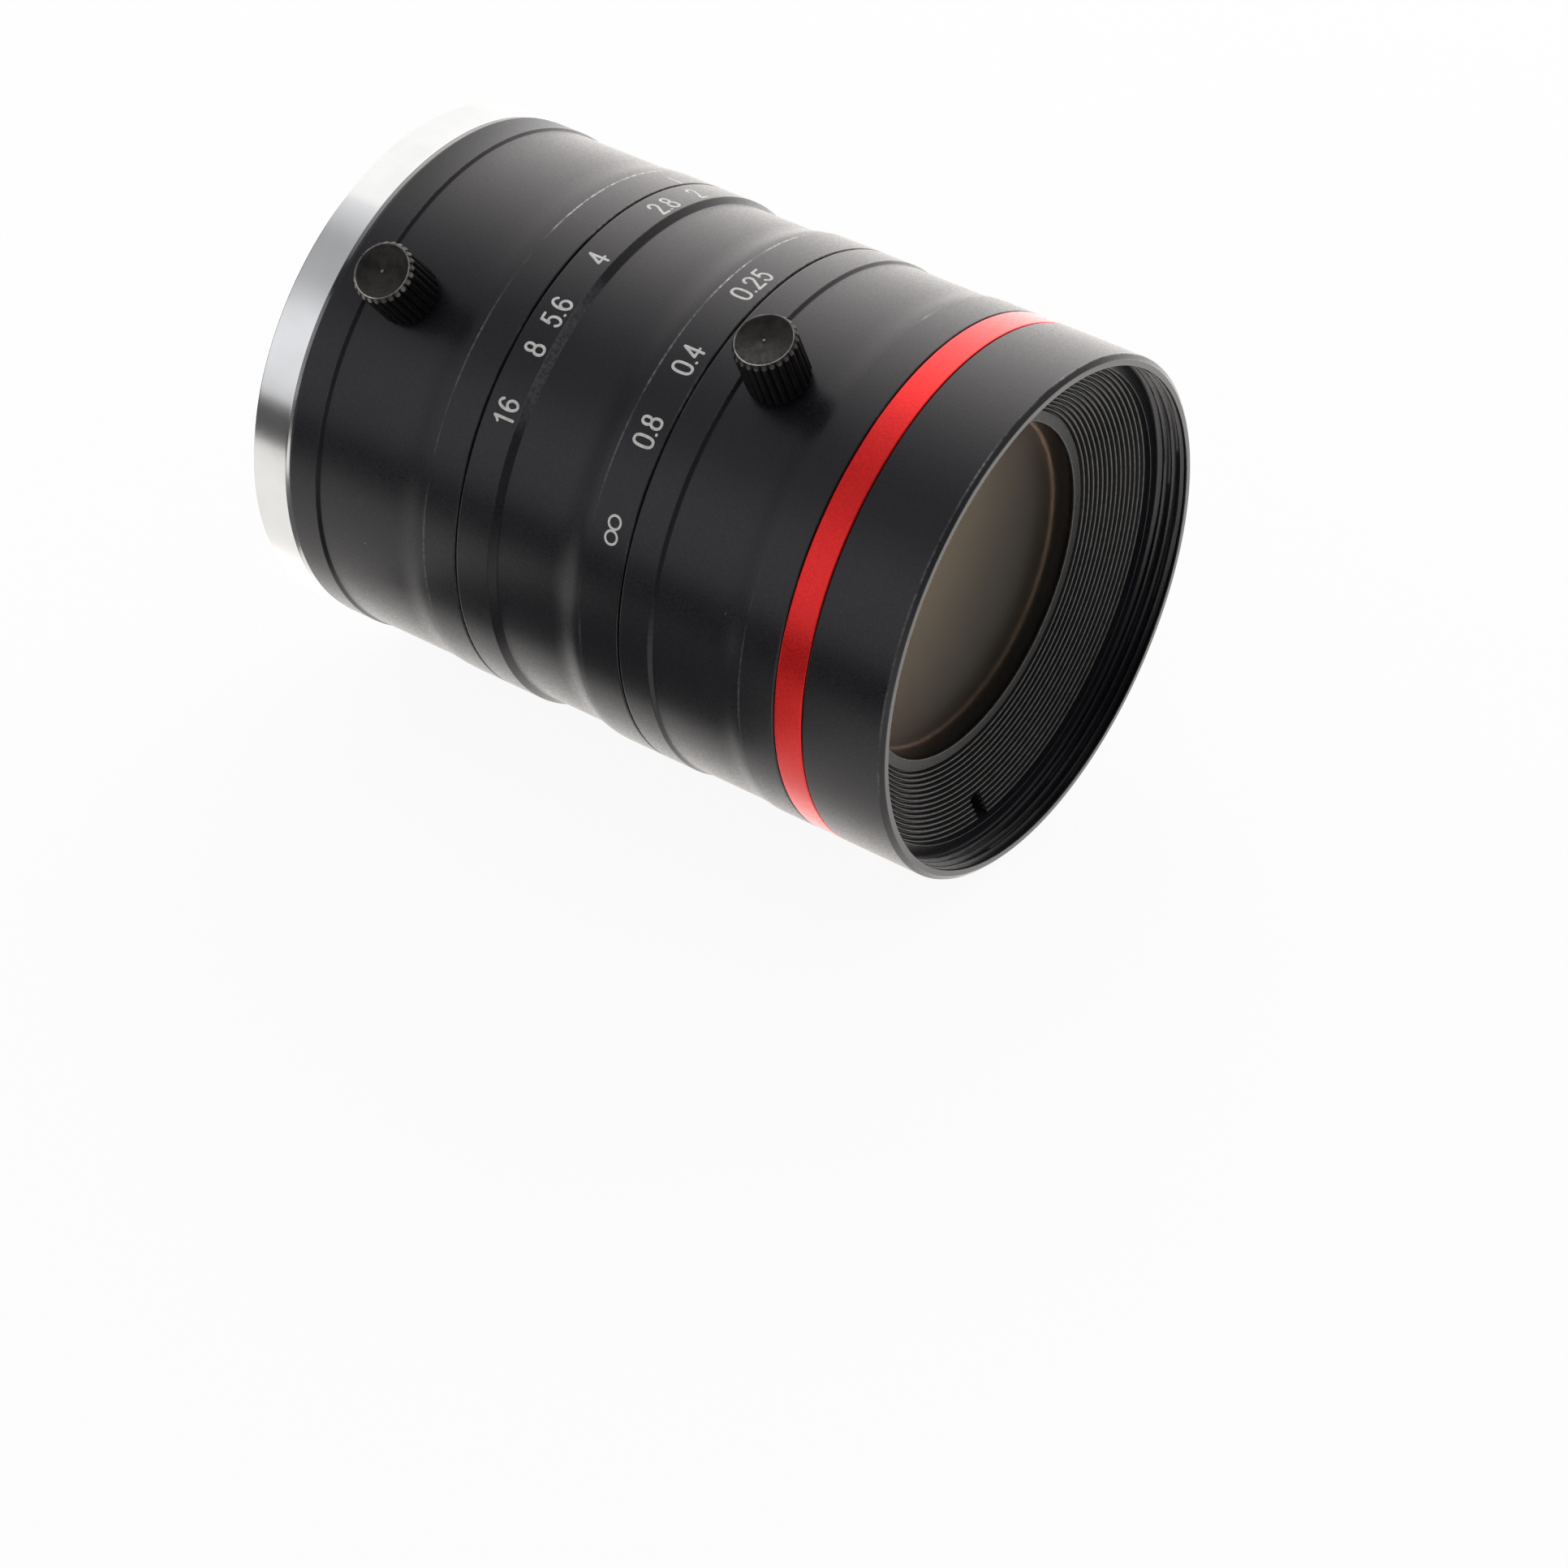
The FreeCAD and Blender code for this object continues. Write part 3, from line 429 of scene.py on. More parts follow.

# %% [markdown]
# Inside, everything is a flat matte black that swallows stray light. The ridges of the
# baffle are turned with a pointed tool. Where an outline marks wear, on the ridge crests,
# the lip and the edges of the rear rings, and most of all on the spacer's inner edge,
# the black is painted grey up to light grey, partly wear and partly a painted highlight.

# %% Matte black, turned
matte = Finish("matte_black_inner", Roughness=0.5, IOR=1.5)
worn_edge_and_painted_highlight = matte.times(matte.attribute("wear"), matte.patches(2.0, 4.0, 0.25, 0.7, 0.4, 1.0))
tone = matte.mix(matte.patches(3.5, 4.0, 0.4, 0.75), (0.0075, 0.0072, 0.0080), (0.016, 0.0155, 0.0155))
# Painted highlight as well as wear: where wear is marked, the black turns light grey.
tone = matte.mix(worn_edge_and_painted_highlight, tone, (0.62, 0.605, 0.58))
tone = matte.mix(matte.specks(0.55, 0.03, 0.35), tone, (0.12, 0.12, 0.115))
gloss = matte.patches(5.0, 3.0, 0.3, 0.7, 0.42, 0.58)
grain = matte.bump(matte.noise(16.0, 3.0), 0.012, 0.6)
finishes["matte_black_inner"] = matte.wire(Base_Color=tone, Roughness=gloss, Normal=grain)

# %% [markdown]
# Light that comes back out of the lens has crossed many coated faces, and each one
# takes a little blue from it, so the depths look brown, and browner towards the edge.
# The coating keeps each face from mirroring much, which a low index gives, and the
# little that it does mirror is soft. What is left is a thin haze, with a painted sheen
# that makes it thicker and lighter on the side turned to the sky. A few grains of dust
# lie on the glass, as they always do. The ground edge of a glass is inked black, so
# that it doesn't glow.

# %% Coated glass
glass = Finish("coated_glass", IOR=1.07, Roughness=0.29)
glass.shader.inputs["Specular Tint"].default_value = (1.0, 0.86, 0.74, 1)
parts = split(glass.tree, glass.place)
skyward = glass.calc("SUBTRACT", glass.times(parts[2], 0.64), glass.times(parts[1], 0.77))
# Painted sheen: the haze is thicker and lighter towards the side turned to the sky.
haze_and_painted_sheen = glass.spread(skyward, -8.5, 9.0, 0.006, 0.060)
from_axis = split(glass.tree, glass.round_axis())[1]
tone = glass.mix(glass.spread(from_axis, 8.0, 15.0), (0.86, 0.77, 0.64), (0.86, 0.69, 0.58))
grains = glass.specks(1.7, 0.035, 0.16)
tone = glass.mix(grains, tone, (0.30, 0.29, 0.28))
clear = glass.calc("SUBTRACT", glass.calc("SUBTRACT", 1.0, haze_and_painted_sheen), grains, clamp=True)
finishes["coated_glass"] = glass.wire(Base_Color=tone, Transmission_Weight=clear)

# %% [markdown]
# The thumb screws are steel, blackened in hot oil. The film swallows most light. The
# top is painted a patchy lighter brown, partly handling and partly a painted glint that
# makes the top lighter than the sides, and on the rim and on the teeth just below it
# bare steel shows. So wear has two steps here: a little of it gives the brown top and
# a lot gives metal.

# %% Black oxide
oxide = Finish("black_oxide_screw", Roughness=0.42, IOR=1.32)
wear = oxide.attribute("wear")
bare = oxide.times(oxide.spread(wear, 0.2, 0.75), oxide.patches(0.42, 3.0, 0.36, 0.58, 0.3, 1.0))
bare = oxide.times(bare, oxide.patches(4.5, 3.0, 0.28, 0.55, 0.4, 1.0))
# Painted glint as well as handling: the top's little wear lightens it to brown.
brown_top_and_painted_glint = oxide.times(oxide.spread(wear, 0.03, 0.14), oxide.patches(1.1, 5.0, 0.34, 0.60, 0.15, 1.0))
tone = oxide.mix(brown_top_and_painted_glint, (0.0036, 0.0034, 0.0036), (0.0185, 0.0150, 0.0128))
tone = oxide.mix(bare, tone, (0.46, 0.45, 0.44))
tone = oxide.mix(oxide.specks(1.1, 0.07, 0.16), tone, (0.30, 0.26, 0.22))
gloss = oxide.patches(2.5, 4.0, 0.3, 0.7, 0.36, 0.58)
grain = oxide.bump(oxide.noise(6.0, 4.0), 0.025, 0.7)
finishes["black_oxide_screw"] = oxide.wire(Base_Color=tone, Metallic=bare, Roughness=gloss, Normal=grain)

# %% [markdown]
# The last few finishes belong to small pieces inside: spring steel, blackened iris
# leaves, brass and smooth plastic. Each is a base colour with a fine grain of its own,
# so a loop makes them from a short list.

# %% Small pieces inside
SMALL = {
    "spring_steel": ((0.46, 0.46, 0.47), (0.56, 0.56, 0.57), 1.0, 0.30, 12.0),
    "blade_black": ((0.012, 0.012, 0.014), (0.022, 0.021, 0.022), 0.0, 0.45, 7.0),
    "brass_key": ((0.72, 0.54, 0.26), (0.80, 0.62, 0.33), 1.0, 0.28, 9.0),
    "sliding_washer": ((0.010, 0.010, 0.011), (0.018, 0.018, 0.018), 0.0, 0.5, 6.0),
}
for name, (dark, light, metallic, roughness, scale) in SMALL.items():
    small = Finish(name, Metallic=metallic)
    cloud = small.noise(scale, 3.0)
    tone = small.mix(small.spread(cloud, 0.3, 0.7), dark, light)
    gloss = small.spread(cloud, 0.3, 0.7, roughness - 0.05, roughness + 0.07)
    finishes[name] = small.wire(Base_Color=tone, Roughness=gloss, Normal=small.bump(cloud, 0.006, 0.5))
print("finishes", len(finishes))

# %% [markdown]
# The numbers are cut into the rings and filled with an off-white paint that is a bit
# uneven from stroke to stroke.

# %% Paint of the numbers
paint = Finish("number_paint", Roughness=0.55, IOR=1.45)
tone = paint.mix(paint.patches(2.5, 4.0, 0.3, 0.7), (0.53, 0.53, 0.515), (0.69, 0.69, 0.675))
number_paint = paint.wire(Base_Color=tone, Normal=paint.bump(paint.noise(12.0, 2.0), 0.01, 0.5))

# %% [markdown]
# CAD nodes that keep their own shape take the finish of their slot. It replaces the
# materials that they had.

# %% Finish the CAD nodes
for name, node in frame["nodes"].items():
    node.data.materials.clear()
    node.data.materials.append(finishes[slot_of[name]])
print("finished", len(frame["nodes"]), "nodes")

# %% [markdown]
# Nearly every piece of a lens comes off a lathe: its shape is one outline, turned about
# the axis. So one Geometry Nodes tree does what the lathe does. It lays a grid whose
# rows are the outline's points and whose columns go round, and moves each point to its
# place. Where the outline says thread, the tree cuts a helix of that pitch and depth,
# and where it says flute, it cuts a straight knurl. A spin in mesh code would do for
# the plain rings, but not for the threads, and the tree keeps one place for both.

# %% The lathe
def new_tree(name, inputs):
    """An empty Geometry Nodes tree with named inputs of the given kinds."""
    tree = bpy.data.node_groups.new(name, "GeometryNodeTree")
    tree.interface.new_socket("Geometry", in_out="INPUT", socket_type="NodeSocketGeometry")
    for label, kind in inputs:
        tree.interface.new_socket(label, in_out="INPUT", socket_type="NodeSocket" + kind)
    tree.interface.new_socket("Geometry", in_out="OUTPUT", socket_type="NodeSocketGeometry")
    return tree, tree.nodes.new("NodeGroupInput").outputs


def close_tree(tree, given, geometry):
    """Gives the finished shape the material that was asked for and hands it out."""
    final = add_node(tree, "GeometryNodeSetMaterial", geometry)
    tree.links.new(given["Material"], final.inputs["Material"])
    add_node(tree, "NodeGroupOutput", final.outputs[0])
    print(tree.name, "nodes", len(tree.nodes))


def sampled(tree, shape, value, index, kind):
    """The value that one point of the shape has."""
    made = add_node(tree, "GeometryNodeSampleIndex", shape, value, index, data_type=kind, domain="POINT")
    return made.outputs[0]


def point_value(tree, name):
    """A value stored on the points under a name."""
    return add_node(tree, "GeometryNodeInputNamedAttribute", name, data_type="FLOAT").outputs[0]


lathe, given = new_tree("lathe", [
    ("Steps Round", "Int"), ("Pitch", "Float"), ("Thread Depth", "Float"),
    ("Flutes", "Int"), ("Flute Depth", "Float"), ("Knurl Radius", "Float"), ("Material", "Material"),
])
shape, steps = given["Geometry"], given["Steps Round"]
size = add_node(lathe, "GeometryNodeAttributeDomainSize", shape, component="MESH").outputs[0]
columns = plus(lathe, steps, 1.0)
grid = add_node(lathe, "GeometryNodeMeshGrid", 1.0, 1.0, plus(lathe, size, 1.0), columns)
index = add_node(lathe, "GeometryNodeInputIndex").outputs[0]
row = calc(lathe, "FLOOR", calc(lathe, "DIVIDE", plus(lathe, index, 0.5), columns))
column = minus(lathe, index, times(lathe, row, columns))
point = calc(lathe, "MODULO", row, size)
turn = calc(lathe, "DIVIDE", column, steps)
angle = times(lathe, turn, 2 * math.pi)
position = add_node(lathe, "GeometryNodeInputPosition").outputs[0]
corner = split(lathe, sampled(lathe, shape, position, point, "FLOAT_VECTOR"))
marks = {k: sampled(lathe, shape, point_value(lathe, k), point, "FLOAT") for k in ("wear", "thread", "flute")}
print("lathe nodes so far", len(lathe.nodes))

# %% [markdown]
# A thread is a wave along the axis that moves on by one pitch in a turn. The knurl is
# a row of round lobes: the sine's size, raised to a small power to make the lobes full
# and the valleys sharp. It only takes off what stands further out than that row, so
# where it meets a chamfer it leaves the scalloped edge that a real knurl has.

# %% Thread and knurl
wave = calc(lathe, "FRACT", plus(lathe, calc(lathe, "DIVIDE", corner[0], given["Pitch"]), turn))
valley = calc(lathe, "ABSOLUTE", minus(lathe, times(lathe, wave, 2.0), 1.0))
valley = add_node(lathe, "ShaderNodeMapRange", valley, 0.12, 0.85, 1.0, 0.0).outputs[0]
thread = times(lathe, times(lathe, valley, marks["thread"]), given["Thread Depth"])
half_turns = times(lathe, times(lathe, angle, given["Flutes"]), 0.5)
lobe = calc(lathe, "POWER", calc(lathe, "ABSOLUTE", calc(lathe, "SINE", half_turns)), 0.6)
knurled = times(lathe, minus(lathe, 1.0, lobe), given["Flute Depth"])
knurled = minus(lathe, given["Knurl Radius"], knurled)
flute = calc(lathe, "MAXIMUM", minus(lathe, corner[2], knurled), 0.0)
flute = times(lathe, flute, marks["flute"])
radius = minus(lathe, minus(lathe, corner[2], thread), flute)
placed = on_circle(lathe, corner[0], radius, angle)
in_valley = times(lathe, marks["flute"], minus(lathe, 1.0, lobe))
worn = times(lathe, marks["wear"], minus(lathe, 1.0, in_valley))
stored = add_node(lathe, "GeometryNodeStoreNamedAttribute", grid.outputs[0], None, "wear", worn,
                  data_type="FLOAT", domain="POINT").outputs[0]
moved = add_node(lathe, "GeometryNodeSetPosition", stored, None, placed).outputs[0]
closed = add_node(lathe, "GeometryNodeMergeByDistance", moved)
closed.inputs["Distance"].default_value = 1e-6
close_tree(lathe, given, add_node(lathe, "GeometryNodeRealizeInstances", closed.outputs[0]).outputs[0])

# %% [markdown]
# No turned corner is quite sharp: the tool or a file takes it off, and the small round
# edge catches a line of light. The outline helper rounds each corner by the radius that
# stands with it. It also sets a point just outside each rounding, so that smooth shading
# leaves the faces beside it flat.

# %% Outlines with rounded corners
def outline(corners, steps=4, guard=0.05):
    """Points (x, radius, wear) of a closed outline. A corner is (x, radius, rounding, wear)."""
    corners = [tuple(c) + (0.0, 0.0)[len(c) - 2:] for c in corners]
    points = []
    for i, (x, r, rounding, wear) in enumerate(corners):
        here = Vector((x, r))
        before = Vector(corners[i - 1][:2]) - here
        after = Vector(corners[(i + 1) % len(corners)][:2]) - here
        if rounding == 0:
            points.append((x, r, wear))  # a plain point, which may also carry wear along a face
            continue
        cut = [min(rounding, 0.42 * side.length) for side in (before, after)]
        start, end = here + before.normalized() * cut[0], here + after.normalized() * cut[1]
        if before.length > 2.2 * (cut[0] + guard):
            points.append((*(start + before.normalized() * guard), 0.0))
        parts = steps + int(6 * rounding)
        for k in range(parts + 1):
            t = k / parts
            points.append((*(start * (1 - t) ** 2 + here * (2 * t * (1 - t)) + end * t * t), wear))
        if after.length > 2.2 * (cut[1] + guard):
            points.append((*(end + after.normalized() * guard), 0.0))
    return points


def outline_object(name, points, marks=None):
    """The outline as a row of points in the XZ plane, with what the lathe should cut at each."""
    mesh = bpy.data.meshes.new(name)
    mesh.from_pydata([(x * MM, 0, r * MM) for x, r, _ in points], [], [])
    marks = {"wear": [w for _, _, w in points], **(marks or {})}
    for key, values in marks.items():
        mesh.attributes.new(key, "FLOAT", "POINT").data.foreach_set("value", values)
    return new_object(name, mesh)


print("a square ring has", len(outline([(0, 1, 0.1), (1, 1, 0.1), (1, 2, 0.1), (0, 2, 0.1)])), "points")

# %% [markdown]
# A tree's result is turned into a plain mesh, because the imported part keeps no
# modifiers. Doubles are merged once more and the normals recalculated, so every closed
# piece faces outwards. Edges steeper than the limit stay sharp.

# %% Bake a tree
def bake(source, tree, settings, sharp=38.0):
    """Runs a tree on an object with the named settings and returns the result as a plain mesh."""
    modifier = source.modifiers.new(tree.name, "NODES")
    modifier.node_group = tree
    for item in tree.interface.items_tree:
        if item.in_out == "INPUT" and item.name in settings:
            modifier[item.identifier] = settings[item.name]
    mesh = bpy.data.meshes.new_from_object(source.evaluated_get(bpy.context.evaluated_depsgraph_get()))
    bpy.data.objects.remove(source)
    mesh.materials.clear()
    mesh.materials.append(settings["Material"])
    mesh.polygons.foreach_set("material_index", [0] * len(mesh.polygons))
    return clean(mesh, sharp)


def clean(mesh, sharp=38.0):
    """Merges doubles, turns every face outwards and keeps only steep edges sharp."""
    work = bmesh.new()
    work.from_mesh(mesh)
    bmesh.ops.remove_doubles(work, verts=work.verts, dist=1e-7)
    bmesh.ops.dissolve_degenerate(work, edges=work.edges, dist=1e-8)
    bmesh.ops.recalc_face_normals(work, faces=work.faces)
    work.to_mesh(mesh)
    work.free()
    mesh.shade_smooth()
    mesh.set_sharp_from_angle(angle=math.radians(sharp))
    return mesh


def add_piece(name, mesh, body, slot, nodes=()):
    """Puts a finished mesh into the scene as a piece that rides on a body and stands for CAD nodes."""
    piece = new_object(name, mesh)
    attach(piece, body)
    if nodes:
        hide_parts(*nodes)
    print("%-22s %6d faces" % (name, len(mesh.polygons)))
    return piece


def mark_points(piece, name, level):
    """Stores a value on each point of a piece, worked out from its place in millimetres."""
    values = piece.data.attributes.new(name, "FLOAT", "POINT")
    for point, value in zip(piece.data.vertices, values.data):
        value.value = level(point.co / MM)


NO_PITCH = 0.001  # any length does where nothing is threaded


def turned(name, points, body, node, steps=256, marks=None, **settings):
    """A piece off the lathe that stands for one CAD node and takes its finish."""
    slot = slot_of[node]
    source = outline_object(name, points, marks)
    values = {"Steps Round": steps, "Pitch": NO_PITCH, "Material": finishes[slot], **settings}
    mesh = bake(source, lathe, values)
    return add_piece(name, mesh, body, slot, [node])


print("lathe ready")

# %% [markdown]
# The thread helper lays more points along one stretch of an outline, a tenth of a pitch
# apart, and marks how deep the thread is at each. It runs out softly at both ends, as
# a real thread does where the tool leaves the metal.

# %% Threaded stretch
def threaded(points, start, end, radius, pitch, run_out=1.0):
    """The outline with close points along its stretch at that radius, and the depth at each point."""
    count = int(abs(end - start) / pitch * 10)
    row = [(start + (end - start) * i / count, radius, 0.0) for i in range(1, count)]
    at = next(i for i in range(len(points))
              if abs(points[i][1] - radius) < 1e-6 and abs(points[(i + 1) % len(points)][1] - radius) < 1e-6
              and abs(points[(i + 1) % len(points)][0] - points[i][0]) > 0.5 * abs(end - start))
    full = points[:at + 1] + row + points[at + 1:]
    depth = [0.0] * len(full)
    for i, (x, r, _) in enumerate(row):
        inside = min(abs(x - start), abs(end - x)) / (pitch * run_out)
        depth[at + 1 + i] = min(1.0, inside)
    return full, depth


# %% [markdown]
# The mount ring is the only bright piece. Its rear face seats on the camera, and the
# stub behind it carries the mount thread, one inch across with 32 turns to the inch.

# %% Mount ring
BARREL = 22.0
MOUNT_PITCH = 25.4 / 32
corners = [
    (-4.0, 11.0, 0.1), (-4.0, 12.35, 0.1), (-3.65, 12.7, 0.05), (-0.5, 12.7, 0.05), (-0.45, 12.2), (0, 12.2, 0.05),
    (0, 21.9, 0.1), (0.1, BARREL, 0.1), (3.5, BARREL, 0.06), (3.8, 21.7, 0.06), (3.8, 16.5), (1.6, 16.5), (1.6, 11.0),
]
points, depth = threaded(outline(corners), -3.65, -0.5, 12.7, MOUNT_PITCH)
turned("mount_ring_bright", points, "barrel", "mount_ring", marks={"thread": depth},
       **{"Pitch": MOUNT_PITCH * MM, "Thread Depth": 0.46 * MM})

# %% [markdown]
# Three black rings share one plan: a land at each end at the full diameter and a
# shallow waist between them, with a steep slope behind and a long ramp in front. The
# ramp runs out softly just below the land, and the last hundredths of a millimetre end
# in the edge that fingers rub bare. A helper writes that outline from the same numbers
# as the drawing. The scale barrel's slope is scuffed beside the numbers, where a thumb
# finds the step.

# %% Waisted rings
def waisted(rear, front, rear_land, slope, depth, ramp, front_land, rubbed_edge):
    """The outer corners of a ring with a turned-down waist, from rear to front."""
    low, land, step = BARREL - depth, front - front_land, rear + rear_land
    return [
        (rear, BARREL, 0.14, 0.15), (step, BARREL, 0.05, 0.12), (step + slope, low, 0.06),
        (land - ramp, low, 0.8), (land, BARREL - 0.03, 0.4),
        (land + rubbed_edge, BARREL, 0.05, 0.9), (front, BARREL, 0.14, 0.3),
    ]


iris_corners = waisted(3.9, 20.9, 2.74, 0.32, 0.2, 1.55, 3.95, 0.82)
iris_corners += [(20.9, 18.05), (3.9, 18.05)]
turned("iris_ring_black", outline(iris_corners), "iris_ring", "iris_ring")

scale_corners = waisted(21.05, 37.0, 3.18, 0.62, 0.43, 1.75, 4.3, 0.65)
scale_corners += [(37.0, 18.0), (34.1, 18.0), (34.1, 19.2), (23.95, 19.2), (23.95, 18.0), (21.05, 18.0)]
scale_barrel = turned("scale_barrel_black", outline(scale_corners), "barrel", "scale_barrel")


def thumb_scuff(place):
    """How scuffed the slope is, most in the middle of the numbers and fading beside them."""
    away = (math.degrees(math.atan2(place.y, place.z)) + 36) / 19
    return max(0.0, 1 - away ** 4) if 24.2 < place.x < 24.88 else 0.0


mark_points(scale_barrel, "scuff", thumb_scuff)

focus_corners = waisted(37.15, 51.9, 2.80, 0.34, 0.2, 1.3, 3.7, 0.45)
focus_corners += [
    (51.9, 20.6), (57.2, 20.6), (57.2, 19.4), (55.2, 16.05), (48.8, 16.05), (48.8, 14.8), (48.3, 14.8), (48.3, 16.5),
    (44.6, 16.5), (44.6, 19.5), (42.05, 19.5), (42.05, 18.05), (37.15, 18.05),
]
turned("focus_ring_black", outline(focus_corners), "focus_ring", "focus_ring")

# %% [markdown]
# The red ring and the hood in front of it go on in the same way. The hood's front edge
# has a narrow chamfer, and its end face was turned once more after the blasting, so it
# shines. Inside the rim is the filter thread, M43 with a pitch of 0.75, which is cut
# outwards from the rim's inner edge.

# %% Red ring and hood
red_corners = [(51.98, 20.6), (51.98, BARREL, 0.12), (54.52, BARREL, 0.12), (54.52, 20.6)]
turned("red_accent_ring", outline(red_corners), "focus_ring", "red_ring")

FILTER_PITCH = 0.75
RIM_INNER = 21.1
hood_corners = [
    (54.6, 20.6), (54.6, BARREL, 0.12), (61.68, BARREL, 0.06, 0.85), (62.0, 21.6, 0.04, 0.3), (62.0, 21.5),
    (62.0, 21.2), (62.0, RIM_INNER, 0.06, 0.3), (59.2, RIM_INNER), (59.2, 20.1, 0.06), (57.25, 20.1), (57.25, 20.6),
]
points, depth = threaded(outline(hood_corners), 61.9, 59.2, RIM_INNER, FILTER_PITCH, 0.6)
hood = turned("front_hood_black", points, "focus_ring", "front_hood", marks={"thread": depth},
              **{"Pitch": FILTER_PITCH * MM, "Thread Depth": -0.38 * MM})
mark_points(hood, "polish", lambda place: 1.0 if place.x > 61.96 else 0.0)

# %% [markdown]
# The thumb screws are turned in the same way about their own axis, then stood up on the
# ring. The head has a straight knurl, which runs out in a small chamfer under the top,
# and the top itself is slightly dished, with a tiny nub in its middle from parting off.

# %% Thumb screws
HEAD_FOOT, HEAD_TOP, HEAD_RADIUS, RIM_RADIUS, SHANK_RADIUS = 22.1, 27.22, 2.62, 2.37, 0.96
CHAMFER = 0.40
TEETH = 25


def thumb_screw(name, body, node, x, angle, tip, wear):
    """A knurled screw that points straight out from the axis at that station and angle."""
    corners = [
        (tip, 0), (tip, 0.71), (tip + 0.25, SHANK_RADIUS), (HEAD_FOOT, SHANK_RADIUS),
        (HEAD_FOOT, 2.3, 0.05), (HEAD_FOOT + 0.2, HEAD_RADIUS, 0.08), (HEAD_TOP - CHAMFER - 0.05, HEAD_RADIUS),
    ]
    for i in range(7):
        along = i / 6
        corners.append((HEAD_TOP - CHAMFER * (1 - 0.94 * along), HEAD_RADIUS + (RIM_RADIUS - HEAD_RADIUS) * along,
                        0, wear * (0.52 - 0.12 * along)))
    dish = [
        (0.0, RIM_RADIUS - 0.03, wear), (0.02, RIM_RADIUS - 0.09, 0.7 * wear), (0.05, RIM_RADIUS - 0.14, 0.15),
        (0.10, 0.34, 0.15), (0.15, 0.17, 0.15), (0.04, 0.1, 0.8 * wear), (0.04, 0, 0.8 * wear),
    ]
    corners += [(HEAD_TOP - drop, radius, 0, mark) for drop, radius, mark in dish]
    points = outline(corners, guard=0.03)
    points, depth = threaded(points, tip + 0.25, HEAD_FOOT, SHANK_RADIUS, 0.4)
    flute = [1.0 if r > RIM_RADIUS + 0.001 else 0.0 for _, r, _ in points]
    slot = slot_of[node]
    settings = {"Steps Round": 10 * TEETH, "Pitch": 0.4 * MM, "Thread Depth": 0.2 * MM, "Flutes": TEETH,
                "Flute Depth": 0.24 * MM, "Knurl Radius": HEAD_RADIUS * MM, "Material": finishes[slot]}
    source = outline_object(name, points, {"thread": depth, "flute": flute})
    mesh = bake(source, lathe, settings, 50.0)
    stand = Matrix.Rotation(-math.radians(angle), 4, "X") @ Matrix.Rotation(-math.pi / 2, 4, "Y")
    mesh.transform(Matrix.Translation((x * MM, 0, 0)) @ stand)
    return add_piece(name, mesh, body, slot, [node])


thumb_screw("iris_thumb_screw", "iris_lock_screw", "iris_lock_screw", 10.5, -37.5, 18.05, 1.0)
thumb_screw("focus_thumb_screw", "focus_lock_screw", "focus_lock_screw", 43.0, -23.3, 19.35, 0.7)

# %% [markdown]
# The baffle behind the filter thread is a funnel of fourteen fine ridges down to a flat
# lip round the glass. Light that comes in at an angle is caught between them. Each
# ridge is a small round crest and a steep step, so the outline is written by a loop.
# The lip is thin where it holds the glass, so that the glass reaches close to its edge.

# %% Baffle
RIDGES = 14
FUNNEL = {"front": 58.65, "rear": 55.65, "outer": 20.1, "inner": 15.2}
LIP_INNER, LIP_REAR = 14.26, 55.42


def baffle_outline():
    """The funnel's ridges, then the lip and the plain back."""
    fall = (FUNNEL["front"] - FUNNEL["rear"]) / RIDGES
    width = (FUNNEL["outer"] - FUNNEL["inner"]) / RIDGES
    corners = []
    for i in range(RIDGES):
        x, r = FUNNEL["front"] - i * fall, FUNNEL["outer"] - i * width
        corners += [(x, r - 0.08 * width, 0.03, 0.18), (x - 0.05, r - 0.34 * width, 0.03, 0.18)]
        corners += [(x - 0.42, r - 0.52 * width), (x - 0.42 - 0.2 * fall, r - 0.80 * width)]
    corners += [(FUNNEL["rear"], FUNNEL["inner"], 0.03, 0.12), (FUNNEL["rear"], LIP_INNER, 0.06, 0.2)]
    corners += [(LIP_REAR, LIP_INNER), (54.95, 15.95), (55.0, 15.95), (57.0, 19.3), (57.0, 20.1)]
    return outline(corners, steps=2, guard=0.02)


print("baffle outline", len(baffle_outline()), "points")

# %% [markdown]
# Two spanner slots are milled into the funnel, so that the ring can be screwed home. A
# Boolean with two blocks cuts them from the turned ring. The ring at the rear of the
# lens is made by the same helper.

# %% Spanner slots
def blocks(name, boxes):
    """One mesh object of matte blocks, each given by its two corners and a turn about the axis."""
    work = bmesh.new()
    for low, high, turn in boxes:
        low, high = Vector(low) * MM, Vector(high) * MM
        size = high - low
        place = Matrix.Translation((low + high) / 2) @ Matrix.Diagonal((*size, 1))
        bmesh.ops.create_cube(work, size=1.0, matrix=Matrix.Rotation(math.radians(turn), 4, "X") @ place)
    mesh = bpy.data.meshes.new(name)
    work.to_mesh(mesh)
    work.free()
    mesh.materials.append(finishes["matte_black_inner"])
    return new_object(name, mesh)


def cut_away(mesh, cutter):
    """The mesh less the cutter's blocks, as a plain mesh again."""
    holder = new_object("holder", mesh)
    boolean = holder.modifiers.new("cut", "BOOLEAN")
    boolean.operation, boolean.solver, boolean.object = "DIFFERENCE", "EXACT", cutter
    result = bpy.data.meshes.new_from_object(holder.evaluated_get(bpy.context.evaluated_depsgraph_get()))
    bpy.data.objects.remove(holder)
    bpy.data.objects.remove(cutter)
    return clean(result, 50.0)


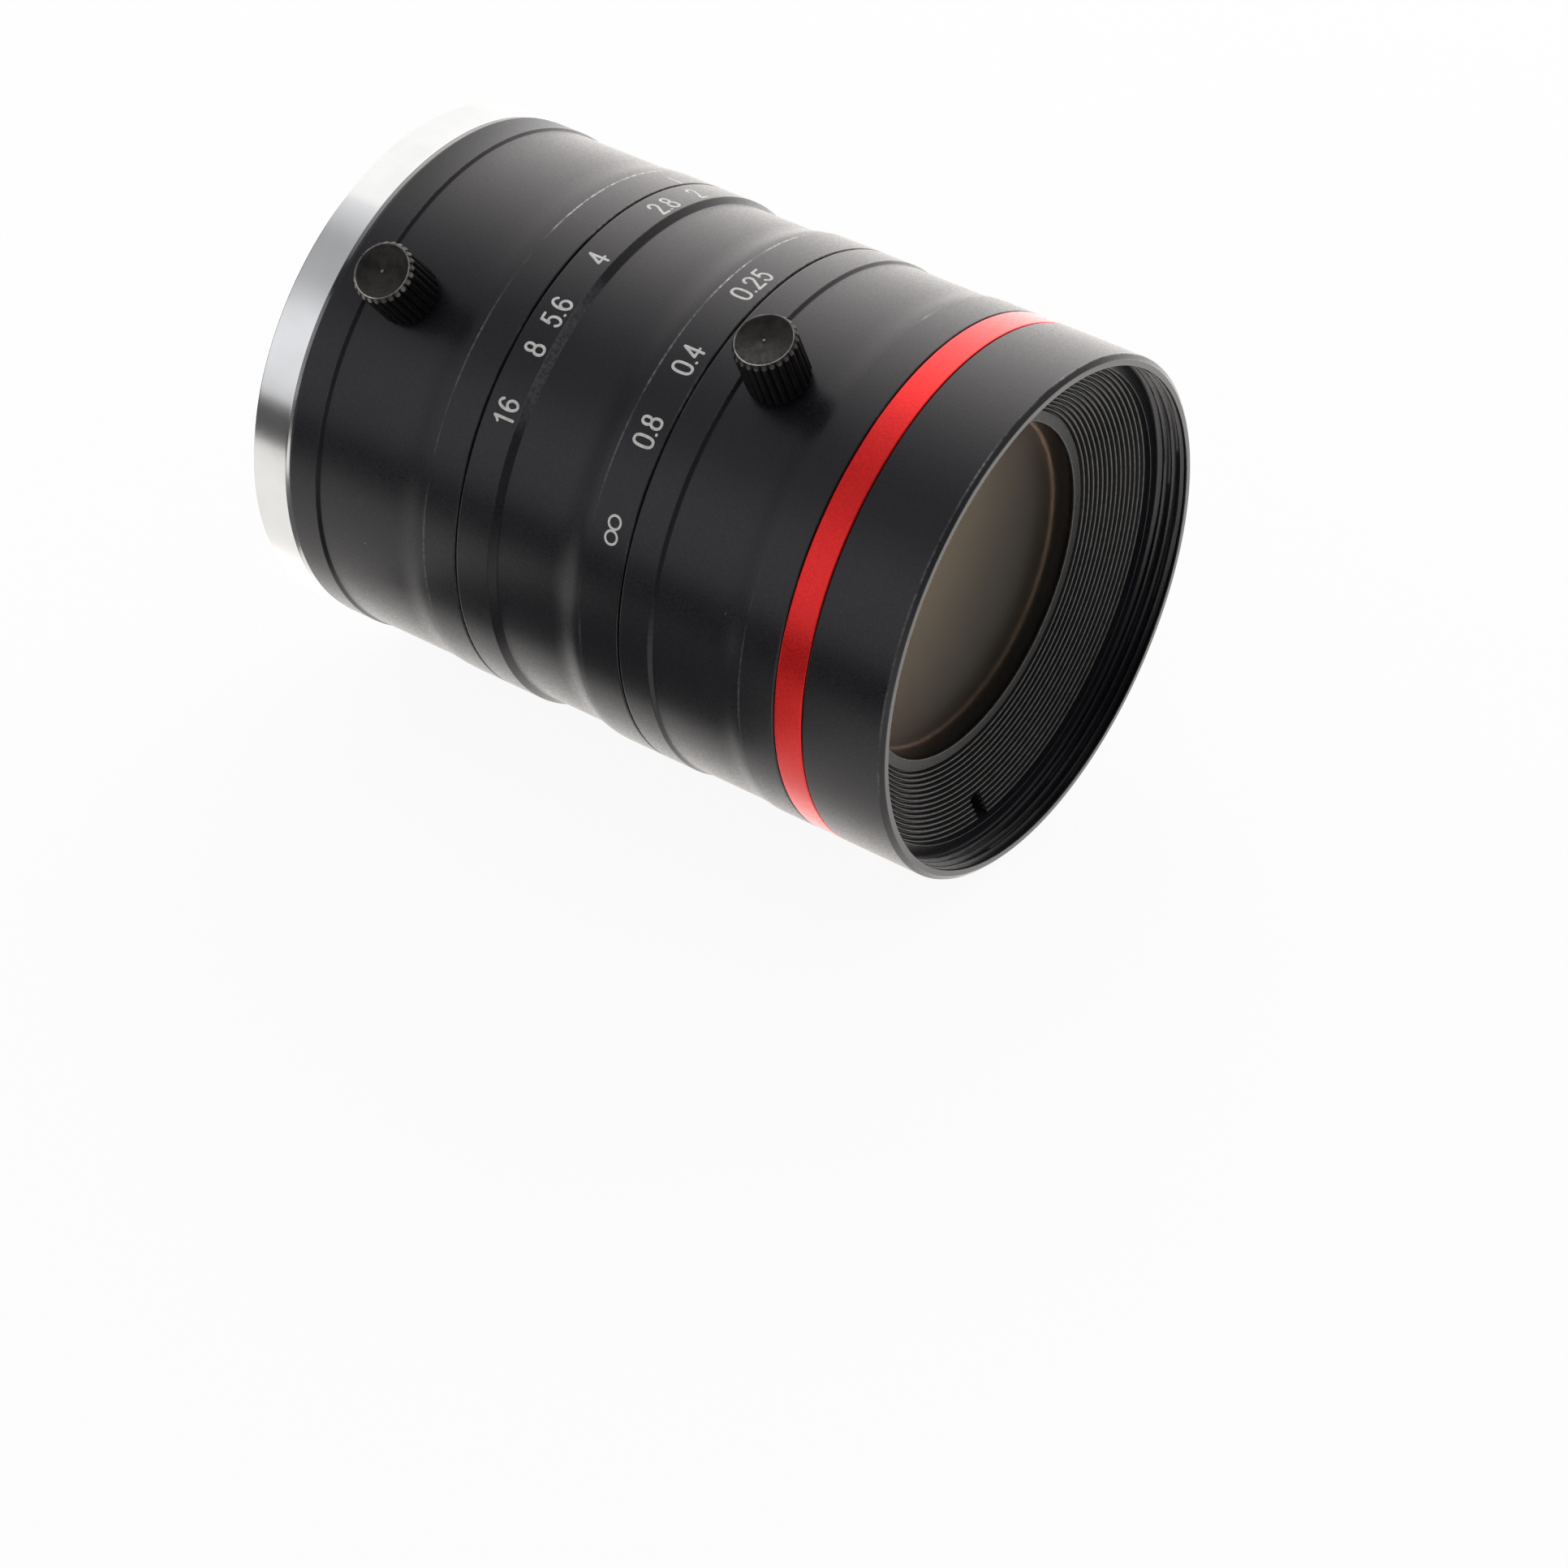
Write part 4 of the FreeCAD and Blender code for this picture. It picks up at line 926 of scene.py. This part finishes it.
def slotted(name, points, low, high, angle, body, node, steps):
    """A turned ring less two blocks, one across from the other, that stands for a CAD node."""
    settings = {"Steps Round": steps, "Pitch": NO_PITCH, "Material": finishes["matte_black_inner"]}
    mesh = bake(outline_object(name, points), lathe, settings, 50.0)
    mesh = cut_away(mesh, blocks("slot_blocks", [(low, high, angle + half) for half in (0, 180)]))
    return add_piece(name, mesh, body, slot_of[node], [node])


slotted("front_baffle_ridged", baffle_outline(), (57.2, -0.64, 18.55), (59.65, 0.64, 20.3), 173.0,
        "focus_ring", "front_baffle", 256)

# %% [markdown]
# A thin ring holds the second glass away from the first one. Its inner edge carries a
# high wear, which the matte finish paints light grey, partly wear and partly a painted
# highlight, and is the fine bright curve that shows through the front glass.

# %% Front spacer
low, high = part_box("front_spacer")
SPACER_WIDTH, SPACER_GAP = 2.1, 0.05
rear, front, outer = low.x / MM, high.x / MM - SPACER_GAP, high.y / MM
edge = outer - SPACER_WIDTH
# The high wear on the inner edge paints it light grey: a painted highlight as well as wear.
spacer_corners = [(rear, edge, 0.1, 0.5), (front, edge, 0.18, 0.8), (front, outer), (rear, outer)]
turned("front_spacer_turned", outline(spacer_corners), "focus_ring", "front_spacer")

# %% [markdown]
# The glasses need smooth faces, because a mirror shows every facet. Each one is turned
# from an outline whose faces are arcs. A face is given by how far its middle stands
# above its edge, above 0 for a bulge and below 0 for a hollow, and the CAD node's own
# box gives where it sits.

# %% Glasses
def sag(curve, radius):
    """How far a round face of that curve falls back at a radius."""
    return curve - math.sqrt(curve ** 2 - radius ** 2)


def lens_outline(rear, front, radius, rear_rise, front_rise, steps=28, chamfer=0.12):
    """Points of a glass between two stations of its box, from the middle out and back."""
    def face(rise, t):
        if rise == 0:
            return 0.0
        curve = (radius ** 2 + rise ** 2) / (2 * abs(rise))
        return math.copysign(sag(curve, radius * t), rise)

    rear_edge = rear + max(rear_rise, 0.0)
    front_edge = front - max(front_rise, 0.0)
    shares = [i / steps * (1 - chamfer / radius) for i in range(steps + 1)]
    points = [(front_edge + front_rise - face(front_rise, t), radius * t, 0.0) for t in shares]
    points += [(front_edge - chamfer, radius, 0.0), (rear_edge + chamfer, radius, 0.0)]
    return points + [(rear_edge - rear_rise + face(rear_rise, t), radius * t, 0.0) for t in reversed(shares)]


GROUND_EDGE = 0.985  # from this share of a glass's radius on, it is ground and inked
GLASSES = {
    "front_lens": ("focus_ring", 0.0, sag(61.6, 16.0)),
    "second_lens": ("focus_ring", -sag(60.0, 16.0), 0.0),
    "cell_front_lens": ("focus_cell", -sag(45.0, 14.5), -sag(45.0, 14.5)),
    "cell_rear_lens": ("focus_cell", sag(50.0, 14.5), sag(50.0, 14.5)),
    "rear_flint": ("barrel", -2.0, -1.65),
    "rear_crown": ("barrel", 1.22, 2.0),
    "rear_lens": ("barrel", 1.4, 1.4),
}
for node, (body, rear_rise, front_rise) in GLASSES.items():
    low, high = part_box(node)
    points = lens_outline(low.x / MM, high.x / MM, high.y / MM, rear_rise, front_rise)
    piece = turned(node + "_glass", points, body, node, steps=192)
    piece.visible_shadow = False  # the light has to reach the faces behind it
    piece.data.materials.append(finishes["matte_black_inner"])
    for face in piece.data.polygons:
        face.material_index = int(math.hypot(face.center.y, face.center.z) > GROUND_EDGE * high.y)

# %% [markdown]
# The scale numbers are drawn as single strokes, the way an engraving machine cuts them.
# Each stroke is a short row of points on a grid one letter high. Arcs come from a small
# helper. A stroke that ends where it starts is a closed loop.

# %% Strokes of the digits
def arc(cx, cy, rx, ry, start, end, steps=14):
    """Points on an oval between two angles in degrees."""
    turns = [math.radians(start + (end - start) * i / steps) for i in range(steps + 1)]
    return [(cx + rx * math.cos(a), cy + ry * math.sin(a)) for a in turns]


def rounder(cx, cy, rx, ry, steps=32, fullness=2.6):
    """A closed oval with fuller shoulders than an ellipse, as the digits have."""
    turns = [2 * math.pi * i / steps for i in range(steps + 1)]
    return [(cx + rx * math.copysign(abs(math.cos(a)) ** (2 / fullness), math.cos(a)),
             cy + ry * math.copysign(abs(math.sin(a)) ** (2 / fullness), math.sin(a))) for a in turns]


DIGITS = {
    "0": (0.47, [rounder(0.235, 0.5, 0.235, 0.5)]),
    "1": (0.38, [[(0, 0.77), (0.12, 0.86), (0.21, 1)], [(0.21, 1), (0.21, 0)]]),
    "2": (0.46, [arc(0.225, 0.745, 0.205, 0.255, 172, -28) + [(0.33, 0.50), (0.02, 0)], [(0.02, 0), (0.46, 0)]]),
    "4": (0.47, [[(0.33, 0), (0.33, 1.02)], [(0.33, 1.02), (0, 0.29)], [(0, 0.29), (0.47, 0.29)]]),
    "5": (0.43, [[(0.41, 0.99), (0.10, 0.99)], [(0.10, 0.99), (0.04, 0.53)],
                 arc(0.205, 0.325, 0.215, 0.325, 140, -155, 20)]),
    "6": (0.46, [arc(0.24, 0.70, 0.21, 0.30, 28, 90, 8) + arc(0.24, 0.50, 0.24, 0.50, 92, 268, 16)
                 + arc(0.24, 0.285, 0.22, 0.285, -90, 172, 20)]),
    "8": (0.455, [rounder(0.228, 0.765, 0.175, 0.235, 26, 2.2), rounder(0.228, 0.265, 0.228, 0.265, 28, 2.3)]),
    ".": (0.0, [[(-0.008, 0.03), (0.008, 0.03)]]),
}
LETTER_GAP = 0.22
print("digits", "".join(DIGITS))

# %% [markdown]
# A number is laid out flat first, with its length along the ring's circumference. A
# second tree gives every stroke a round tip and a width, flattens it and wraps it round
# the barrel. Wrapping in the tree keeps the letters undistorted at any radius.

# %% Engraving tree
engraving, given = new_tree("engraving", [
    ("Stroke Width", "Float"), ("Height", "Float"), ("Barrel Radius", "Float"), ("Material", "Material"),
])
half_width = times(engraving, given["Stroke Width"], 0.5)
line = add_node(engraving, "GeometryNodeMeshToCurve", given["Geometry"]).outputs[0]
section = add_node(engraving, "GeometryNodeCurvePrimitiveCircle", 10)
engraving.links.new(half_width, section.inputs["Radius"])
stroke = add_node(engraving, "GeometryNodeCurveToMesh", line, section.outputs[0])
stroke.inputs["Fill Caps"].default_value = True
ball = add_node(engraving, "GeometryNodeMeshUVSphere", 10, 6, half_width)
ends = add_node(engraving, "GeometryNodeCurveEndpointSelection")
tips = add_node(engraving, "GeometryNodeInstanceOnPoints", line, ends.outputs[0], ball.outputs[0])
both = add_node(engraving, "GeometryNodeJoinGeometry")
engraving.links.new(tips.outputs[0], both.inputs[0])
engraving.links.new(stroke.outputs[0], both.inputs[0])
real = add_node(engraving, "GeometryNodeRealizeInstances", both.outputs[0]).outputs[0]
flat = split(engraving, add_node(engraving, "GeometryNodeInputPosition").outputs[0])
raised = calc(engraving, "DIVIDE", times(engraving, flat[2], given["Height"]), half_width)
radius = plus(engraving, given["Barrel Radius"], raised)
angle = calc(engraving, "DIVIDE", flat[1], given["Barrel Radius"])
wrapped = on_circle(engraving, flat[0], radius, angle)
moved = add_node(engraving, "GeometryNodeSetPosition", real, None, wrapped).outputs[0]
close_tree(engraving, given, moved)

# %% [markdown]
# The numbers read round the ring, with their tops towards the mount. The rear row is
# the aperture scale and the front row the distances in metres.

# %% Numbers on the scale barrel
LETTER_HEIGHT, PAINT_HEIGHT = 1.74, 0.018
APERTURE_ROW, DISTANCE_ROW = 22.93, 35.27


def laid_out(text, x, angle):
    """The strokes of a number, centred on a station and an angle, flat in millimetres."""
    length = sum(DIGITS[c][0] for c in text) + LETTER_GAP * (len(text) - 1)
    start, strokes, middle = -length / 2, [], math.radians(angle) * BARREL
    for c in text:
        width, lines = DIGITS[c]
        for row in lines:
            strokes.append([(x - (v - 0.5) * LETTER_HEIGHT, middle + (start + u) * LETTER_HEIGHT) for u, v in row])
        start += width + LETTER_GAP
    return strokes


def engraved(name, strokes, body, width):
    """Strokes wrapped round the barrel as one painted piece."""
    vertices, edges = [], []
    for row in strokes:
        first = len(vertices)
        closed = math.dist(row[0], row[-1]) < 1e-6
        row = row[:-1] if closed else row
        vertices += [(x * MM, s * MM, 0) for x, s in row]
        edges += [(first + i, first + i + 1) for i in range(len(row) - 1)]
        edges += [(first + len(row) - 1, first)] if closed else []
    mesh = bpy.data.meshes.new(name)
    mesh.from_pydata(vertices, edges, [])
    source = new_object(name, mesh)
    settings = {"Stroke Width": width * MM, "Height": PAINT_HEIGHT * MM, "Barrel Radius": BARREL * MM,
                "Material": number_paint}
    return add_piece(name, bake(source, engraving, settings, 60.0), body, "black_anodised")


APERTURES = {"16": -51.3, "8": -37.4, "5.6": -28.5, "4": -13.5, "2.8": 8.9, "2": 20.3}
DISTANCES = {"0.8": -43.85, "0.4": -27.05, "0.25": -4.4}
numbers = []
for text, angle in APERTURES.items():
    numbers += laid_out(text, APERTURE_ROW, angle)
for text, angle in DISTANCES.items():
    numbers += laid_out(text, DISTANCE_ROW, angle)
engraved("scale_numbers", numbers, "barrel", 0.24)

# %% [markdown]
# The sign for far away is two thin circles side by side, and the aperture ring carries
# one short line that points at its scale.

# %% Infinity sign and index line
middle = math.radians(-64.9) * BARREL
rings = [arc(35.29, middle + side * 0.62, 0.545, 0.545, 0, 360, 30) for side in (-1, 1)]
engraved("infinity_sign", rings, "barrel", 0.20)
mark = math.radians(23.4) * BARREL
engraved("iris_index_line", [[(19.35, mark), (20.7, mark)]], "iris_ring", 0.24)

# %% [markdown]
# The back of the lens is seen when it is turned round: a plain cell with its slotted
# ring and the rear glass in the middle of the mount thread.

# %% Rear cell and its ring
rear_cell_corners = [
    (-3.6, 9.8, 0.08, 0.1), (-3.6, 11.0, 0.08, 0.1), (1.6, 11.0), (1.6, 13.0), (3.2, 13.0), (3.2, 11.0),
    (13.4, 11.0), (13.4, 8.4), (12.4, 8.4), (12.4, 9.8),
]
turned("rear_cell_turned", outline(rear_cell_corners), "barrel", "rear_cell", steps=192)

rear_ring_corners = [(-2.07, 8.6, 0.08, 0.14), (-2.07, 9.8), (-0.12, 9.8), (-0.12, 8.6, 0.05)]
slotted("rear_slotted_ring", outline(rear_ring_corners), (-3.0, 7.6, -0.6), (-1.27, 10.8, 0.6), 0,
        "barrel", "rear_retainer", 192)
